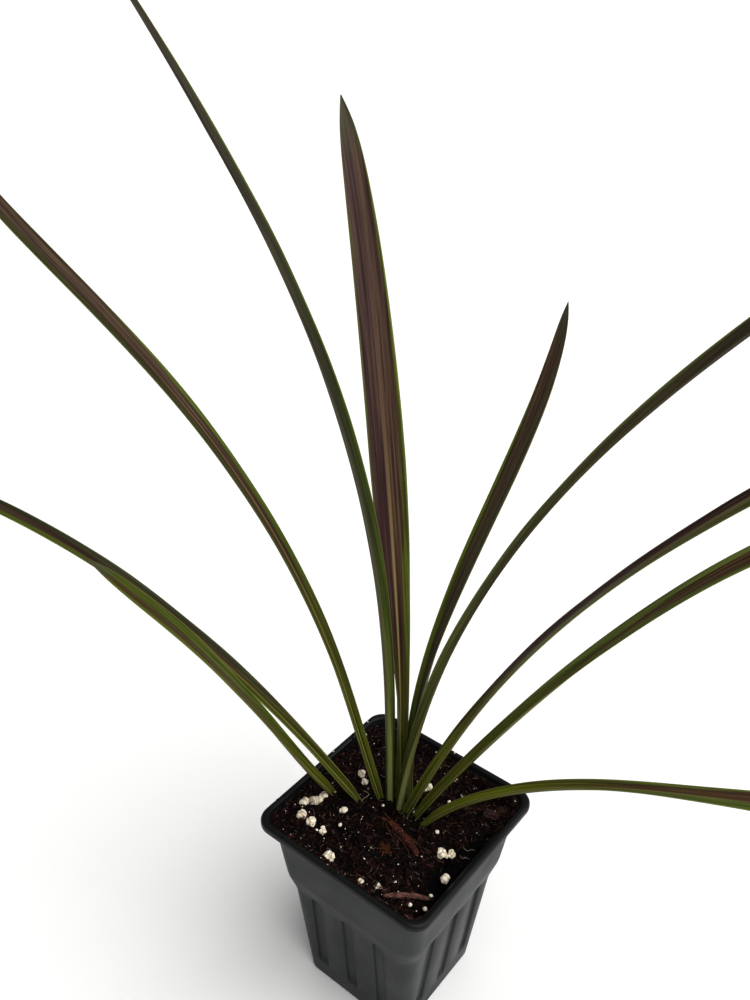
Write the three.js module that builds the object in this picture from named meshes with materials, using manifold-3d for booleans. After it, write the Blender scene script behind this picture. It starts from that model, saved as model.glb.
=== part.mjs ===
// A young ti plant in a square nursery pot.
// Millimetres, +Z up. The origin is the middle of the pot's base, and the pot's sides lie along X and Y.

import * as THREE from "three";
import { mergeVertices } from "three/addons/utils/BufferGeometryUtils.js";
import Module from "manifold-3d";

const wasm = await Module();
wasm.setup();

// Driving dimensions

// Clear space that touching pieces keep between them, and the wider one round the rootstock.
const GAP = 0.3;
const ROOT_GAP = 0.4;

// The pot is a thin moulding, described by the half width of its square at each height.
const POT = {
  height: 105,
  wall: 1.2,
  floor: 1.6,
  rimHalf: 44.5,
  rimInnerHalf: 41.7,
  rimDepth: 4,
  underRimHalf: 40.4,
  bandFoot: { z: 70, half: 37 },
  shoulderFoot: { z: 60, half: 34.2 },
  baseHalf: 28.3,
  footRadius: 1.4,
  rimCorner: 8,
  bodyCorner: 8.5,
  baseCorner: 5.5,
};

// Three shallow upright flutes are pressed into each side of the body.
const FLUTE = { places: [-17.5, 0, 17.5], width: 4.8, depth: 1.3, slope: 0.7, bottom: 11, runOut: 2.6 };

const DRAIN = { radius: 3.6, out: 17 };

// The soil comes close under the rim, higher at the -X side, with a low mound round the stalks.
const SOIL = { level: 99.5, fall: 2.5, mound: 0.8, moundRadius: 20, lump: 0.7, lumpPitch: 13, seed: 7 };

// Leaf stalks stand in the soil down to the rootstock.
const STALK = { surface: 98.5, buried: 13.5, hole: 0.6, holeRun: 28 };

const BLADE = {
  edge: 0.65, middle: 0.7, rib: 1.05, keel: 1.6, foldAtBase: 52, foldOpen: 14,
  footRun: 13, tipWidth: 0.9, tipSlope: 0.55,
};

// Each leaf: its place in the soil, the compass angle that it leans to and how far that drifts,
// four lean angles from upright and three rolls about its own rib, from base to tip, all in degrees,
// its length, its widths at the foot, above it and at the widest place, and where along it that is.
const LEAVES = {
  leaf_01_low_left: {
    at: [-27.9, -7.6], azimuth: 238, drift: 0, lean: [34, 17, 37, 37], roll: [-53, 11, -32],
    length: 176, foot: 2.6, base: 5.2, wide: 9.8, widest: 0.66, color: 0x59642a,
  },
  leaf_02_left: {
    at: [-17, -3.6], azimuth: 201, drift: 4, lean: [40, 45, 65, 95], roll: [-42, 65, -30],
    length: 297, foot: 2.4, base: 5.4, wide: 11.2, widest: 0.48, color: 0x515a2a,
  },
  leaf_03_upper_left: {
    at: [-10.4, 2.7], azimuth: 203, drift: -29, lean: [18, -2, 107, 39], roll: [-55, 66, -59],
    length: 389, foot: 2.8, base: 5.2, wide: 9, widest: 0.56, color: 0x47432c,
  },
  leaf_04_long: {
    at: [-7.1, 4.3], azimuth: 245, drift: -9, lean: [2, 0, 26, 31], roll: [67, 9, 14],
    length: 357, foot: 4.6, base: 4.8, wide: 8.4, widest: 0.74, color: 0x454a2a,
  },
  leaf_05_broad: {
    at: [-6.7, 8.5], azimuth: 160, drift: -7, lean: [-6, 21, 1, 32], roll: [30, -19, -14],
    length: 299, foot: 5.4, base: 5.8, wide: 14.7, widest: 0.56, color: 0x493a30,
  },
  leaf_06_short: {
    at: [-2, 12.4], azimuth: 81, drift: 14, lean: [-5, 9, 85, 6], roll: [-28, -18, -11],
    length: 237, foot: 5.6, base: 6, wide: 10.1, widest: 0.68, color: 0x3a3628,
  },
  leaf_07_tall_right: {
    at: [-1.7, 3.8], azimuth: 10, drift: -2, lean: [5, 15, 38, 43], roll: [-74, 41, -89],
    length: 332, foot: 4.8, base: 5, wide: 8.1, widest: 0.54, color: 0x3f3f28,
  },
  leaf_08_right: {
    at: [2.2, 2.8], azimuth: 22, drift: -6, lean: [19, 20, 52, 43], roll: [68, -77, 83],
    length: 297, foot: 4, base: 5.4, wide: 9.2, widest: 0.44, color: 0x4b4a2c,
  },
  leaf_09_lower_right: {
    at: [6.2, 5.2], azimuth: 47, drift: -12, lean: [32, 47, 32, 106], roll: [30, -56, 60],
    length: 282, foot: 3.4, base: 5.6, wide: 10.9, widest: 0.67, color: 0x4f5a2a,
  },
  leaf_10_arching: {
    at: [11.1, 3.8], azimuth: 27, drift: -1, lean: [35, 90, 104, 61], roll: [43, -92, 91],
    length: 223, foot: 2, base: 5, wide: 10.8, widest: 0.68, color: 0x4f5a2a,
  },
};

// The rootstock lies along a line under the stalks: points with a radius at each.
const ROOTSTOCK = [
  { at: [-32.6, -10.2, 83], radius: 2.6 },
  { at: [-26.6, -6.2, 83.5], radius: 4.8 },
  { at: [-17.6, -2.2, 83.5], radius: 5 },
  { at: [-7.6, 5.8, 83.1], radius: 6 },
  { at: [-0.6, 7.3, 83.1], radius: 6 },
  { at: [7.4, 4.8, 83.3], radius: 5.2 },
  { at: [14.4, 2.8, 83.1], radius: 3 },
];

// Roots run out and down from it: where each starts, its compass angle, its reach and its drop.
const ROOTS = [
  { from: [-20.6, -4.2, 81.5], azimuth: 250, reach: 7, drop: 24 },
  { from: [-15.6, -1.2, 81.5], azimuth: 120, reach: 10, drop: 48 },
  { from: [-7.6, 3.8, 81.5], azimuth: 290, reach: 16, drop: 56 },
  { from: [-0.6, 5.8, 81.5], azimuth: 75, reach: 12, drop: 50 },
  { from: [6.4, 4.8, 81.5], azimuth: 330, reach: 18, drop: 44 },
];
const ROOT = { radius: 1.5, tipRadius: 0.7, sides: 6, steps: 5 };

// Perlite grains: place in plan and radius.
const GRAINS = [
  [-35.3, -21.4, 2], [-32.2, -17.5, 2.4], [-31.3, -12.8, 1.9], [-31.3, -27.8, 2], [-25.9, -27.2, 2.2],
  [-19.5, -13.4, 1.7], [-26.2, 8, 1.9], [-22.4, 5, 1.7], [-18.6, -28.1, 1.5], [-8.7, -35.8, 2.4],
  [8.9, -36.6, 1.5], [16, -33.7, 1.6], [0.9, 21.6, 2], [6.1, 12.3, 1.3], [26.3, -2.7, 2.1],
  [29.5, 0.1, 1.7], [34.7, -12.3, 1.9],
];

// Bark: the ends in plan, the half width and half height, and how far its middle bows sideways.
const BARK = {
  bark_strip: { from: [-4.4, -5.1], to: [20, -11.1], half: [1.7, 1], bow: 1.6, color: 0x5a3120 },
  bark_stick: { from: [20, -35.2], to: [35.8, -24.5], half: [1.2, 1], bow: 0.5, color: 0x5c4038 },
  bark_chip: { from: [28.5, 25.4], to: [35, 29.3], half: [2.6, 1.7], bow: 0.4, color: 0x38231a },
};

// Small helpers

const radians = THREE.MathUtils.degToRad;

/** Smooth step from 0 to 1 for t from 0 to 1. */
function ease(t) {
  const u = THREE.MathUtils.clamp(t, 0, 1);
  return u * u * (3 - 2 * u);
}

/** Value at t of a curve with evenly weighted control values, as a Bezier curve has. */
function glide(values, t) {
  let row = values;
  while (row.length > 1) {
    row = row.slice(1).map((value, i) => THREE.MathUtils.lerp(row[i], value, t));
  }
  return row[0];
}

/** A repeatable random source: each call gives a number from 0 to 1. */
function randomSource(seed) {
  let state = seed;
  return () => {
    state = (state * 1664525 + 1013904223) % 4294967296;
    return state / 4294967296;
  };
}

/** Collects points and triangles and gives back a BufferGeometry. */
class Skin {
  constructor() {
    this.points = [];
    this.faces = [];
  }

  add(point) {
    this.points.push(point.x, point.y, point.z);
    return this.points.length / 3 - 1;
  }

  addRing(ring) {
    return ring.map((point) => this.add(point));
  }

  quad(a, b, c, d) {
    this.faces.push(a, b, c, a, c, d);
  }

  /** Joins two rings, counted the same way round. */
  join(lower, upper) {
    lower.forEach((a, i) => {
      const next = (i + 1) % lower.length;
      this.quad(a, lower[next], upper[next], upper[i]);
    });
  }

  /** Closes a ring with a fan round one point. */
  cap(ring, point, facesUp) {
    const middle = this.add(point);
    ring.forEach((a, i) => {
      const b = ring[(i + 1) % ring.length];
      this.faces.push(...(facesUp ? [a, b, middle] : [b, a, middle]));
    });
  }

  geometry() {
    const geometry = new THREE.BufferGeometry();
    geometry.setAttribute("position", new THREE.Float32BufferAttribute(this.points, 3));
    geometry.setIndex(this.faces);
    return geometry;
  }
}

function toSolid(geometry) {
  const bare = geometry.clone();
  bare.deleteAttribute("normal");
  bare.deleteAttribute("uv");
  const merged = mergeVertices(bare, 1e-4);
  return new wasm.Manifold(new wasm.Mesh({
    numProp: 3,
    vertProperties: new Float32Array(merged.attributes.position.array),
    triVerts: new Uint32Array(merged.index.array),
  }));
}

function toGeometry(solid) {
  const mesh = solid.getMesh();
  const geometry = new THREE.BufferGeometry();
  geometry.setAttribute("position", new THREE.BufferAttribute(new Float32Array(mesh.vertProperties), 3));
  geometry.setIndex(new THREE.BufferAttribute(new Uint32Array(mesh.triVerts), 1));
  return geometry;
}

function unite(solids) {
  return solids.reduce((whole, solid) => whole.add(solid));
}

function piece(name, geometry, color, roughness) {
  const mesh = new THREE.Mesh(geometry, new THREE.MeshStandardMaterial({ color, roughness, metalness: 0 }));
  mesh.name = name;
  return mesh;
}

// The pot

/** One level of the pot: a square with round corners and flutes of the given depth in its sides. */
function potRing(z, half, corner, fluteDepth, fluteHalf) {
  const side = [];
  for (const place of FLUTE.places) {
    side.push([place - fluteHalf - FLUTE.slope, 0], [place - fluteHalf, fluteDepth]);
    side.push([place + fluteHalf, fluteDepth], [place + fluteHalf + FLUTE.slope, 0]);
  }
  const cornerSteps = 3;
  const ring = [];
  for (let quarter = 0; quarter < 4; quarter += 1) {
    const turn = quarter * 90;
    const spin = (x, y) => new THREE.Vector3(x, y, z).applyAxisAngle(new THREE.Vector3(0, 0, 1), radians(turn));
    side.forEach(([along, inward]) => ring.push(spin(half - inward, along)));
    for (let step = 0; step <= cornerSteps; step += 1) {
      const angle = radians((90 * step) / cornerSteps);
      const x = half - corner + corner * Math.cos(angle);
      const y = half - corner + corner * Math.sin(angle);
      ring.push(spin(x, y));
    }
  }
  return ring;
}

/**
 * Rings of the pot's body between the foot and the rim, moved inwards by inset.
 * What lies inside the wall has flutes that run on a little past the wall's own.
 */
function bodyRings(inset, floorZ) {
  const cornerInset = Math.min(inset, POT.wall);
  const runOn = inset - cornerInset;
  const cornerAt = (z) => THREE.MathUtils.mapLinear(z, 0, POT.bandFoot.z, POT.baseCorner, POT.bodyCorner);
  const fluteHalf = FLUTE.width / 2 + inset;
  const shoulder = POT.shoulderFoot;
  const halfAt = (z) => THREE.MathUtils.mapLinear(z, 0, shoulder.z, POT.baseHalf, shoulder.half);
  const fluteFoot = FLUTE.bottom - runOn;
  const fluteFull = fluteFoot + FLUTE.runOut;
  const fluteTop = shoulder.z + FLUTE.runOut + runOn;
  const fluteTopHalf = THREE.MathUtils.mapLinear(
    fluteTop, shoulder.z, POT.bandFoot.z, shoulder.half, POT.bandFoot.half);
  const levels = [
    [floorZ, halfAt(floorZ), 0],
    [fluteFoot, halfAt(fluteFoot), 0],
    [fluteFull, halfAt(fluteFull), FLUTE.depth],
    [shoulder.z, shoulder.half, FLUTE.depth],
    [fluteTop, fluteTopHalf, 0],
    [POT.bandFoot.z, POT.bandFoot.half, 0],
  ];
  return levels.map(([z, half, depth]) => (
    potRing(z, half - inset, cornerAt(z) - cornerInset, depth, fluteHalf)
  ));
}

function bandHalf(z) {
  return THREE.MathUtils.mapLinear(
    z, POT.bandFoot.z, POT.height - POT.rimDepth, POT.bandFoot.half, POT.underRimHalf);
}

function pot() {
  const fluteHalf = FLUTE.width / 2;
  const plain = (z, half, corner) => potRing(z, half, corner, 0, fluteHalf);
  const underRim = POT.height - POT.rimDepth;
  const roll = 1.1;
  const rings = [
    plain(0, POT.baseHalf - POT.footRadius, POT.baseCorner - POT.footRadius),
    ...bodyRings(0, POT.footRadius),
    plain(underRim, POT.underRimHalf, POT.bodyCorner),
    plain(underRim - 0.2, POT.rimHalf - roll, POT.rimCorner - roll),
    plain(underRim + roll, POT.rimHalf, POT.rimCorner),
    plain(POT.height - roll, POT.rimHalf, POT.rimCorner),
    plain(POT.height, POT.rimHalf - roll, POT.rimCorner - roll),
    plain(POT.height, POT.rimInnerHalf + roll / 2, POT.rimCorner - roll),
    plain(POT.height - roll, POT.rimInnerHalf, POT.bodyCorner - POT.wall),
    plain(underRim, POT.underRimHalf - POT.wall, POT.bodyCorner - POT.wall),
    ...bodyRings(POT.wall, POT.floor).reverse(),
  ];
  const skin = new Skin();
  const loops = rings.map((ring) => skin.addRing(ring));
  loops.slice(1).forEach((loop, i) => skin.join(loops[i], loop));
  skin.cap(loops[0], new THREE.Vector3(0, 0, 0), false);
  skin.cap(loops[loops.length - 1], new THREE.Vector3(0, 0, POT.floor), true);

  const drainHeight = POT.floor * 4;
  const drains = [[1, 1], [-1, 1], [-1, -1], [1, -1]].map(([sx, sy]) => {
    const drill = new THREE.CylinderGeometry(DRAIN.radius, DRAIN.radius, drainHeight, 12);
    drill.rotateX(Math.PI / 2);
    drill.translate(sx * DRAIN.out, sy * DRAIN.out, 0);
    return toSolid(drill);
  });
  return piece("pot", toGeometry(toSolid(skin.geometry()).subtract(unite(drains))), 0x2c3133, 0.5);
}

// The leaves

const LEAF_STEPS = 26;
const ACROSS = [1, 0.5, 0, -0.5, -1];

/** Points along a leaf's rib, each with its side and face directions. */
function ribOf(leaf, steps) {
  const stride = leaf.length / steps;
  const heading = (t) => {
    const lean = radians(glide(leaf.lean, t));
    const azimuth = radians(leaf.azimuth + leaf.drift * t);
    const flat = new THREE.Vector3(Math.cos(azimuth), Math.sin(azimuth), 0);
    const along = flat.clone().multiplyScalar(Math.sin(lean));
    along.z = Math.cos(lean);
    return { along, level: new THREE.Vector3(-flat.y, flat.x, 0) };
  };
  const place = new THREE.Vector3(leaf.at[0], leaf.at[1], STALK.surface);
  const stations = [];
  for (let step = 0; step <= steps; step += 1) {
    const t = step / steps;
    const { along, level } = heading(t);
    const face = along.clone().cross(level);
    const roll = radians(glide(leaf.roll, t));
    stations.push({
      t,
      place: place.clone(),
      side: level.clone().multiplyScalar(Math.cos(roll)).addScaledVector(face, Math.sin(roll)),
      face: face.clone().multiplyScalar(Math.cos(roll)).addScaledVector(level, -Math.sin(roll)),
    });
    place.addScaledVector(heading(t + 0.5 / steps).along, stride);
  }
  return stations;
}

/** Width of a leaf: a narrow foot, a stalk that widens into the blade, and a taper with a short point. */
function leafWidth(leaf, t) {
  const run = t * leaf.length;
  if (t <= leaf.widest) {
    const stalkEnd = 0.06;
    const stalk = THREE.MathUtils.lerp(leaf.foot, leaf.base, ease(run / BLADE.footRun));
    return THREE.MathUtils.lerp(stalk, leaf.wide, ease((t - stalkEnd) / (leaf.widest - stalkEnd)));
  }
  const taper = (t - leaf.widest) / (1 - leaf.widest);
  const blade = leaf.wide * (1 - taper ** 1.2) ** 0.35;
  const point = BLADE.tipWidth + BLADE.tipSlope * (leaf.length - run);
  const sharpness = 4;
  return Math.max(BLADE.tipWidth, (blade ** -sharpness + point ** -sharpness) ** (-1 / sharpness));
}

/** Half the angle by which the blade is folded up, and how far it has opened from stalk to blade. */
function foldAt(leaf, t) {
  const open = ease(t / (0.8 * leaf.widest));
  return { fold: radians(THREE.MathUtils.lerp(BLADE.foldAtBase, BLADE.foldOpen, open)), open };
}

/** One section of a leaf: five points across its upper face, then five back along its underside. */
function leafRing(leaf, station) {
  const { fold, open } = foldAt(leaf, station.t);
  const reach = leafWidth(leaf, station.t) / 2;
  const thin = THREE.MathUtils.clamp((1 - station.t) / 0.15, 0.6, 1);
  const upper = [];
  const under = [];
  for (const across of ACROSS) {
    const wing = Math.sign(across);
    const point = station.place.clone()
      .addScaledVector(station.side, across * reach * Math.cos(fold))
      .addScaledVector(station.face, Math.abs(across) * reach * Math.sin(fold));
    const wingTilt = wing === 0 ? 0 : fold;
    const outward = station.face.clone().multiplyScalar(-Math.cos(wingTilt))
      .addScaledVector(station.side, wing * Math.sin(wingTilt));
    const middle = THREE.MathUtils.lerp(BLADE.keel, BLADE.rib * thin, open);
    const thickness = [middle, BLADE.middle, BLADE.edge][Math.round(Math.abs(across) * 2)];
    upper.push(point);
    under.unshift(point.clone().addScaledVector(outward, thickness));
  }
  return [...upper, ...under];
}

/** Skin of a leaf, with the quads of both faces split along the same lines. */
function leafGeometry(leaf) {
  const skin = new Skin();
  const rings = ribOf(leaf, LEAF_STEPS).map((station) => leafRing(leaf, station));
  const foot = rings[0].map((point) => point.clone().add(new THREE.Vector3(0, 0, -STALK.buried)));
  const loops = [foot, ...rings].map((ring) => skin.addRing(ring));
  const count = ACROSS.length;
  loops.slice(1).forEach((upper, i) => {
    const lower = loops[i];
    lower.forEach((a, column) => {
      const next = (column + 1) % lower.length;
      if (column >= count) {
        skin.faces.push(a, lower[next], upper[column], lower[next], upper[next], upper[column]);
      } else {
        skin.quad(a, lower[next], upper[next], upper[column]);
      }
    });
  });
  const closeEnd = (loop, facesUp) => {
    for (let column = 0; column < count - 1; column += 1) {
      const last = loop.length - 1;
      const corners = [loop[column], loop[column + 1], loop[last - column - 1], loop[last - column]];
      skin.quad(...(facesUp ? corners : corners.reverse()));
    }
  };
  closeEnd(loops[0], false);
  closeEnd(loops[loops.length - 1], true);
  return skin.geometry();
}

/** The plain hole in the soil that a stalk stands in: an eight-sided sleeve along its lower end. */
function stalkHole(leaf) {
  const stations = ribOf(leaf, LEAF_STEPS).filter((station) => station.t * leaf.length <= STALK.holeRun);
  const fold = radians(BLADE.foldAtBase);
  const reach = leaf.base / 2;
  const halfSide = reach * Math.cos(fold) + BLADE.edge * Math.sin(fold) + STALK.hole;
  const low = -BLADE.keel - STALK.hole;
  const high = reach * Math.sin(fold) + STALK.hole;
  const ringAt = (station, drop) => {
    const middle = station.place.clone().addScaledVector(station.face, (low + high) / 2);
    middle.z -= drop;
    return Array.from({ length: 8 }, (_, i) => {
      const angle = radians(45 * i + 22.5);
      const squareness = 1.12;
      return middle.clone()
        .addScaledVector(station.side, squareness * halfSide * Math.cos(angle))
        .addScaledVector(station.face, squareness * ((high - low) / 2) * Math.sin(angle));
    });
  };
  const rings = [ringAt(stations[0], STALK.buried), ...stations.map((station) => ringAt(station, 0))];
  return toSolid(loft(rings));
}

// Round things

/** A closed skin through rings of equal count, with a fan at each end. */
function loft(rings) {
  const skin = new Skin();
  const centre = (ring) => ring.reduce((sum, point) => sum.add(point), new THREE.Vector3())
    .divideScalar(ring.length);
  const loops = rings.map((ring) => skin.addRing(ring));
  loops.slice(1).forEach((loop, i) => skin.join(loops[i], loop));
  skin.cap(loops[0], centre(rings[0]), false);
  skin.cap(loops[loops.length - 1], centre(rings[rings.length - 1]), true);
  return skin.geometry();
}

/**
 * A rod through points, round or flattened, each point with its half width and half height.
 * Its sides are carried along without twisting, and both ends are lengthened by overrun.
 */
function rod(stops, sides, overrun = 0) {
  const curve = new THREE.CatmullRomCurve3(stops.map((stop) => new THREE.Vector3(...stop.at)));
  const side = new THREE.Vector3(0, 0, 1).cross(curve.getTangent(0));
  if (side.lengthSq() < 0.01) {
    side.set(1, 0, 0);
  }
  const rings = stops.map((stop, i) => {
    const along = curve.getTangent(i / (stops.length - 1));
    side.addScaledVector(along, -side.dot(along)).normalize();
    const up = along.clone().cross(side);
    const [halfWidth, halfHeight] = stop.half;
    const atEnd = Number(i === stops.length - 1) - Number(i === 0);
    const middle = new THREE.Vector3(...stop.at).addScaledVector(along, atEnd * overrun);
    return Array.from({ length: sides }, (_, k) => {
      const angle = radians((360 * (k + 0.5)) / sides);
      return middle.clone()
        .addScaledVector(side, halfWidth * Math.cos(angle))
        .addScaledVector(up, halfHeight * Math.sin(angle));
    });
  });
  return loft(rings);
}

function rootstockSolid(extra) {
  const stops = ROOTSTOCK.map(({ at, radius }) => ({ at, half: [radius + extra, radius + extra] }));
  const stem = rod(stops, 8, extra);
  const roots = ROOTS.map(({ from, azimuth, reach, drop }) => {
    const path = Array.from({ length: ROOT.steps + 1 }, (_, i) => {
      const t = i / ROOT.steps;
      const out = reach * Math.sin((t * Math.PI) / 2);
      const radius = THREE.MathUtils.lerp(ROOT.radius, ROOT.tipRadius, t) + extra;
      const x = from[0] + out * Math.cos(radians(azimuth));
      const y = from[1] + out * Math.sin(radians(azimuth));
      const z = from[2] - drop * t ** 1.4;
      return { at: [x, y, z], half: [radius, radius] };
    });
    return toSolid(rod(path, ROOT.sides, extra));
  });
  return unite([toSolid(stem), ...roots]);
}

// The soil and what lies in it

const lumps = (() => {
  const random = randomSource(SOIL.seed);
  return Array.from({ length: 6 }, () => {
    const heading = random() * Math.PI * 2;
    const pitch = SOIL.lumpPitch * (0.7 + 0.8 * random());
    return { x: Math.cos(heading) / pitch, y: Math.sin(heading) / pitch, phase: random() * Math.PI * 2 };
  });
})();

/** Height of the soil's surface at a place in plan. */
function soilHeight(x, y) {
  const slope = (-SOIL.fall * x) / POT.underRimHalf;
  const mound = SOIL.mound * Math.exp(-(x * x + y * y) / SOIL.moundRadius ** 2);
  const waves = lumps.map((wave) => Math.sin(2 * Math.PI * (wave.x * x + wave.y * y) + wave.phase));
  const rough = waves.reduce((sum, wave) => sum + wave, 0) / Math.sqrt(waves.length);
  return SOIL.level + slope + mound + SOIL.lump * rough;
}

function soilBlock() {
  const inset = POT.wall + GAP;
  const shrink = [0.84, 0.68, 0.52, 0.36, 0.18];
  const atWall = (z) => potRing(z, bandHalf(z) - inset, POT.bodyCorner - POT.wall, 0, FLUTE.width / 2);
  const level = atWall(SOIL.level);
  const edge = level.map((point, i) => atWall(soilHeight(point.x, point.y))[i]);
  const inner = shrink.map((scale) => level.map((point) => {
    const x = point.x * scale;
    const y = point.y * scale;
    return new THREE.Vector3(x, y, soilHeight(x, y));
  }));
  const surface = [edge, ...inner];
  const skin = new Skin();
  const loops = [...bodyRings(inset, POT.floor + GAP), ...surface].map((ring) => skin.addRing(ring));
  loops.slice(1).forEach((loop, i) => skin.join(loops[i], loop));
  skin.cap(loops[0], new THREE.Vector3(0, 0, POT.floor + GAP), false);
  skin.cap(loops[loops.length - 1], new THREE.Vector3(0, 0, soilHeight(0, 0)), true);
  return toSolid(skin.geometry());
}

/** A perlite grain: an angular lump half sunk in the soil. */
function grainGeometry([x, y, radius], index, extra) {
  const random = randomSource(100 + index);
  const geometry = mergeVertices(bareSphere(radius));
  const position = geometry.attributes.position;
  const point = new THREE.Vector3();
  for (let i = 0; i < position.count; i += 1) {
    point.fromBufferAttribute(position, i);
    const size = point.length() * (0.8 + 0.3 * random());
    point.setLength(size + extra);
    point.z *= 0.85;
    position.setXYZ(i, point.x, point.y, point.z);
  }
  geometry.translate(x, y, soilHeight(x, y) + 0.25 * radius);
  return geometry;
}

function bareSphere(radius) {
  const sphere = new THREE.IcosahedronGeometry(radius, 1);
  sphere.deleteAttribute("normal");
  sphere.deleteAttribute("uv");
  return sphere;
}

/** A piece of bark that follows the soil, a little sunk in it. */
function barkGeometry({ from, to, half, bow }, extra) {
  const steps = 6;
  const along = new THREE.Vector2(to[0] - from[0], to[1] - from[1]);
  const aside = new THREE.Vector2(-along.y, along.x).normalize();
  const stops = Array.from({ length: steps + 1 }, (_, i) => {
    const t = i / steps;
    const arch = Math.sin(t * Math.PI);
    const x = from[0] + along.x * t + aside.x * bow * arch;
    const y = from[1] + along.y * t + aside.y * bow * arch;
    const fullness = 0.6 + 0.4 * arch;
    const [halfWidth, halfHeight] = half;
    return {
      at: [x, y, soilHeight(x, y) + 0.3 * halfHeight],
      half: [halfWidth * fullness + extra, halfHeight * fullness + extra],
    };
  });
  return rod(stops, 6, extra);
}

// Putting it together

const plant = new THREE.Group();
plant.add(pot());

const cavity = rootstockSolid(ROOT_GAP);
const sunk = [
  cavity,
  ...Object.values(LEAVES).map(stalkHole),
  ...GRAINS.map((grain, i) => toSolid(grainGeometry(grain, i, GAP))),
  ...Object.values(BARK).map((bark) => toSolid(barkGeometry(bark, GAP))),
];
plant.add(piece("soil", toGeometry(soilBlock().subtract(unite(sunk))), 0x24130e, 0.95));
plant.add(piece("rootstock", toGeometry(rootstockSolid(0)), 0x8a6a48, 0.8));

for (const [name, leaf] of Object.entries(LEAVES)) {
  const trimmed = toSolid(leafGeometry(leaf)).subtract(cavity);
  plant.add(piece(name, toGeometry(trimmed), leaf.color, 0.45));
}

GRAINS.forEach((grain, i) => {
  const name = `perlite_${String(i + 1).padStart(2, "0")}`;
  plant.add(piece(name, toGeometry(toSolid(grainGeometry(grain, i, 0))), 0xe2dbcf, 0.9));
});

for (const [name, bark] of Object.entries(BARK)) {
  plant.add(piece(name, barkGeometry(bark, 0), bark.color, 0.9));
}

export default plant;
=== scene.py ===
"""Looks of a young ti plant in a square nursery pot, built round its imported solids.

Sizes are written in millimetres, as they are measured, and meshes are made in metres.
+Z is up, and the origin is the middle of the pot's base.
"""

import logging
import math
import random
from collections.abc import Iterable, Sequence
from dataclasses import dataclass
from enum import Enum

import bmesh
import bpy
import numpy as np
from mathutils import Matrix, Vector, noise

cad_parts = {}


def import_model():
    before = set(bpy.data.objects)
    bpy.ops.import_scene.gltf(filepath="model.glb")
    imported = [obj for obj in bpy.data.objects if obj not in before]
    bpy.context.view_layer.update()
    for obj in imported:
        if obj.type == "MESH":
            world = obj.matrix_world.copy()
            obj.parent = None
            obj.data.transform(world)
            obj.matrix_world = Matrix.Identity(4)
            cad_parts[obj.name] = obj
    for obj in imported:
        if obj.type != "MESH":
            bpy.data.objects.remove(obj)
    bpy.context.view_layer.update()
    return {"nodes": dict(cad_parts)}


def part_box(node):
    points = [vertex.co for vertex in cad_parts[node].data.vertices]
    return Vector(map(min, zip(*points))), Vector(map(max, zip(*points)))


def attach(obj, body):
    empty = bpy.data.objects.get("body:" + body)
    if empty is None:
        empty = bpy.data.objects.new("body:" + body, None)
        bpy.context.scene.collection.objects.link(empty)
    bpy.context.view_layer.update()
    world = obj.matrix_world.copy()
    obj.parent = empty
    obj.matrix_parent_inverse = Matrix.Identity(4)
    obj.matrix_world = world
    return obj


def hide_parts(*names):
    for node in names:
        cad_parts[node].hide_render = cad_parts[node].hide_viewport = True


LOG = logging.getLogger("ti_plant")
MM = 0.001
PER_SQUARE_CM = 1e4
ROOT_BODY = "root"
# Nearly all values of a noise lie between these.
NOISE_LOW, NOISE_HIGH = 0.3, 0.7

Piece = bpy.types.Object
Finish = bpy.types.Material
Tree = bpy.types.NodeTree
Node = bpy.types.Node
Socket = bpy.types.NodeSocket
Point = tuple[float, float, float]
Pair = tuple[float, float]
# A ramp maps its first two values onto its last two.
Ramp = tuple[float, float, float, float]
Points = Sequence[Sequence[float]]
Faces = Sequence[Sequence[int]]


# Small helpers


def ease(t: float) -> float:
    """Smooth step from 0 to 1 for t from 0 to 1."""
    u = min(max(t, 0.0), 1.0)
    return u * u * (3 - 2 * u)


def lerp(a: float, b: float, t: float) -> float:
    """Value between a and b at t."""
    return a + (b - a) * t


def rise(values: np.ndarray, start: float, run: float, most: float = 1.0) -> np.ndarray:
    """How far along a run from start each value has come, from 0 to the most that is allowed."""
    return np.clip((values - start) / run, 0, most)


def around(sides: int) -> list[float]:
    """Angles of points spread evenly round a ring, in radians."""
    return [math.tau * k / sides for k in range(sides)]


def glide(values: Sequence[float], t: float) -> float:
    """Value of a Bezier curve.

    Args:
        values: its control values.
        t: the place along it, from 0 to 1.

    Returns:
        The value there.
    """
    row = list(values)
    while len(row) > 1:
        row = [lerp(a, b, t) for a, b in zip(row, row[1:])]
    return row[0]


def linear(code: str) -> tuple[float, float, float, float]:
    """Turns an sRGB hex colour to linear light.

    Args:
        code: the colour, such as #3a2b1c.

    Returns:
        Linear red, green, blue and alpha.
    """
    parts = [int(code[i : i + 2], 16) / 255 for i in (1, 3, 5)]
    light = [c / 12.92 if c <= 0.04045 else ((c + 0.055) / 1.055) ** 2.4 for c in parts]
    return (light[0], light[1], light[2], 1.0)


def find_socket(sockets: Iterable[Socket], key: str) -> Socket:
    """Finds a socket by its identifier or, failing that, by its name.

    Args:
        sockets: the sockets on one side of a node.
        key: the identifier or the name.

    Returns:
        The socket.
    """
    listed = list(sockets)
    exact = [s for s in listed if s.identifier == key]
    return exact[0] if exact else next(s for s in listed if s.name == key and s.enabled)


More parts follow.
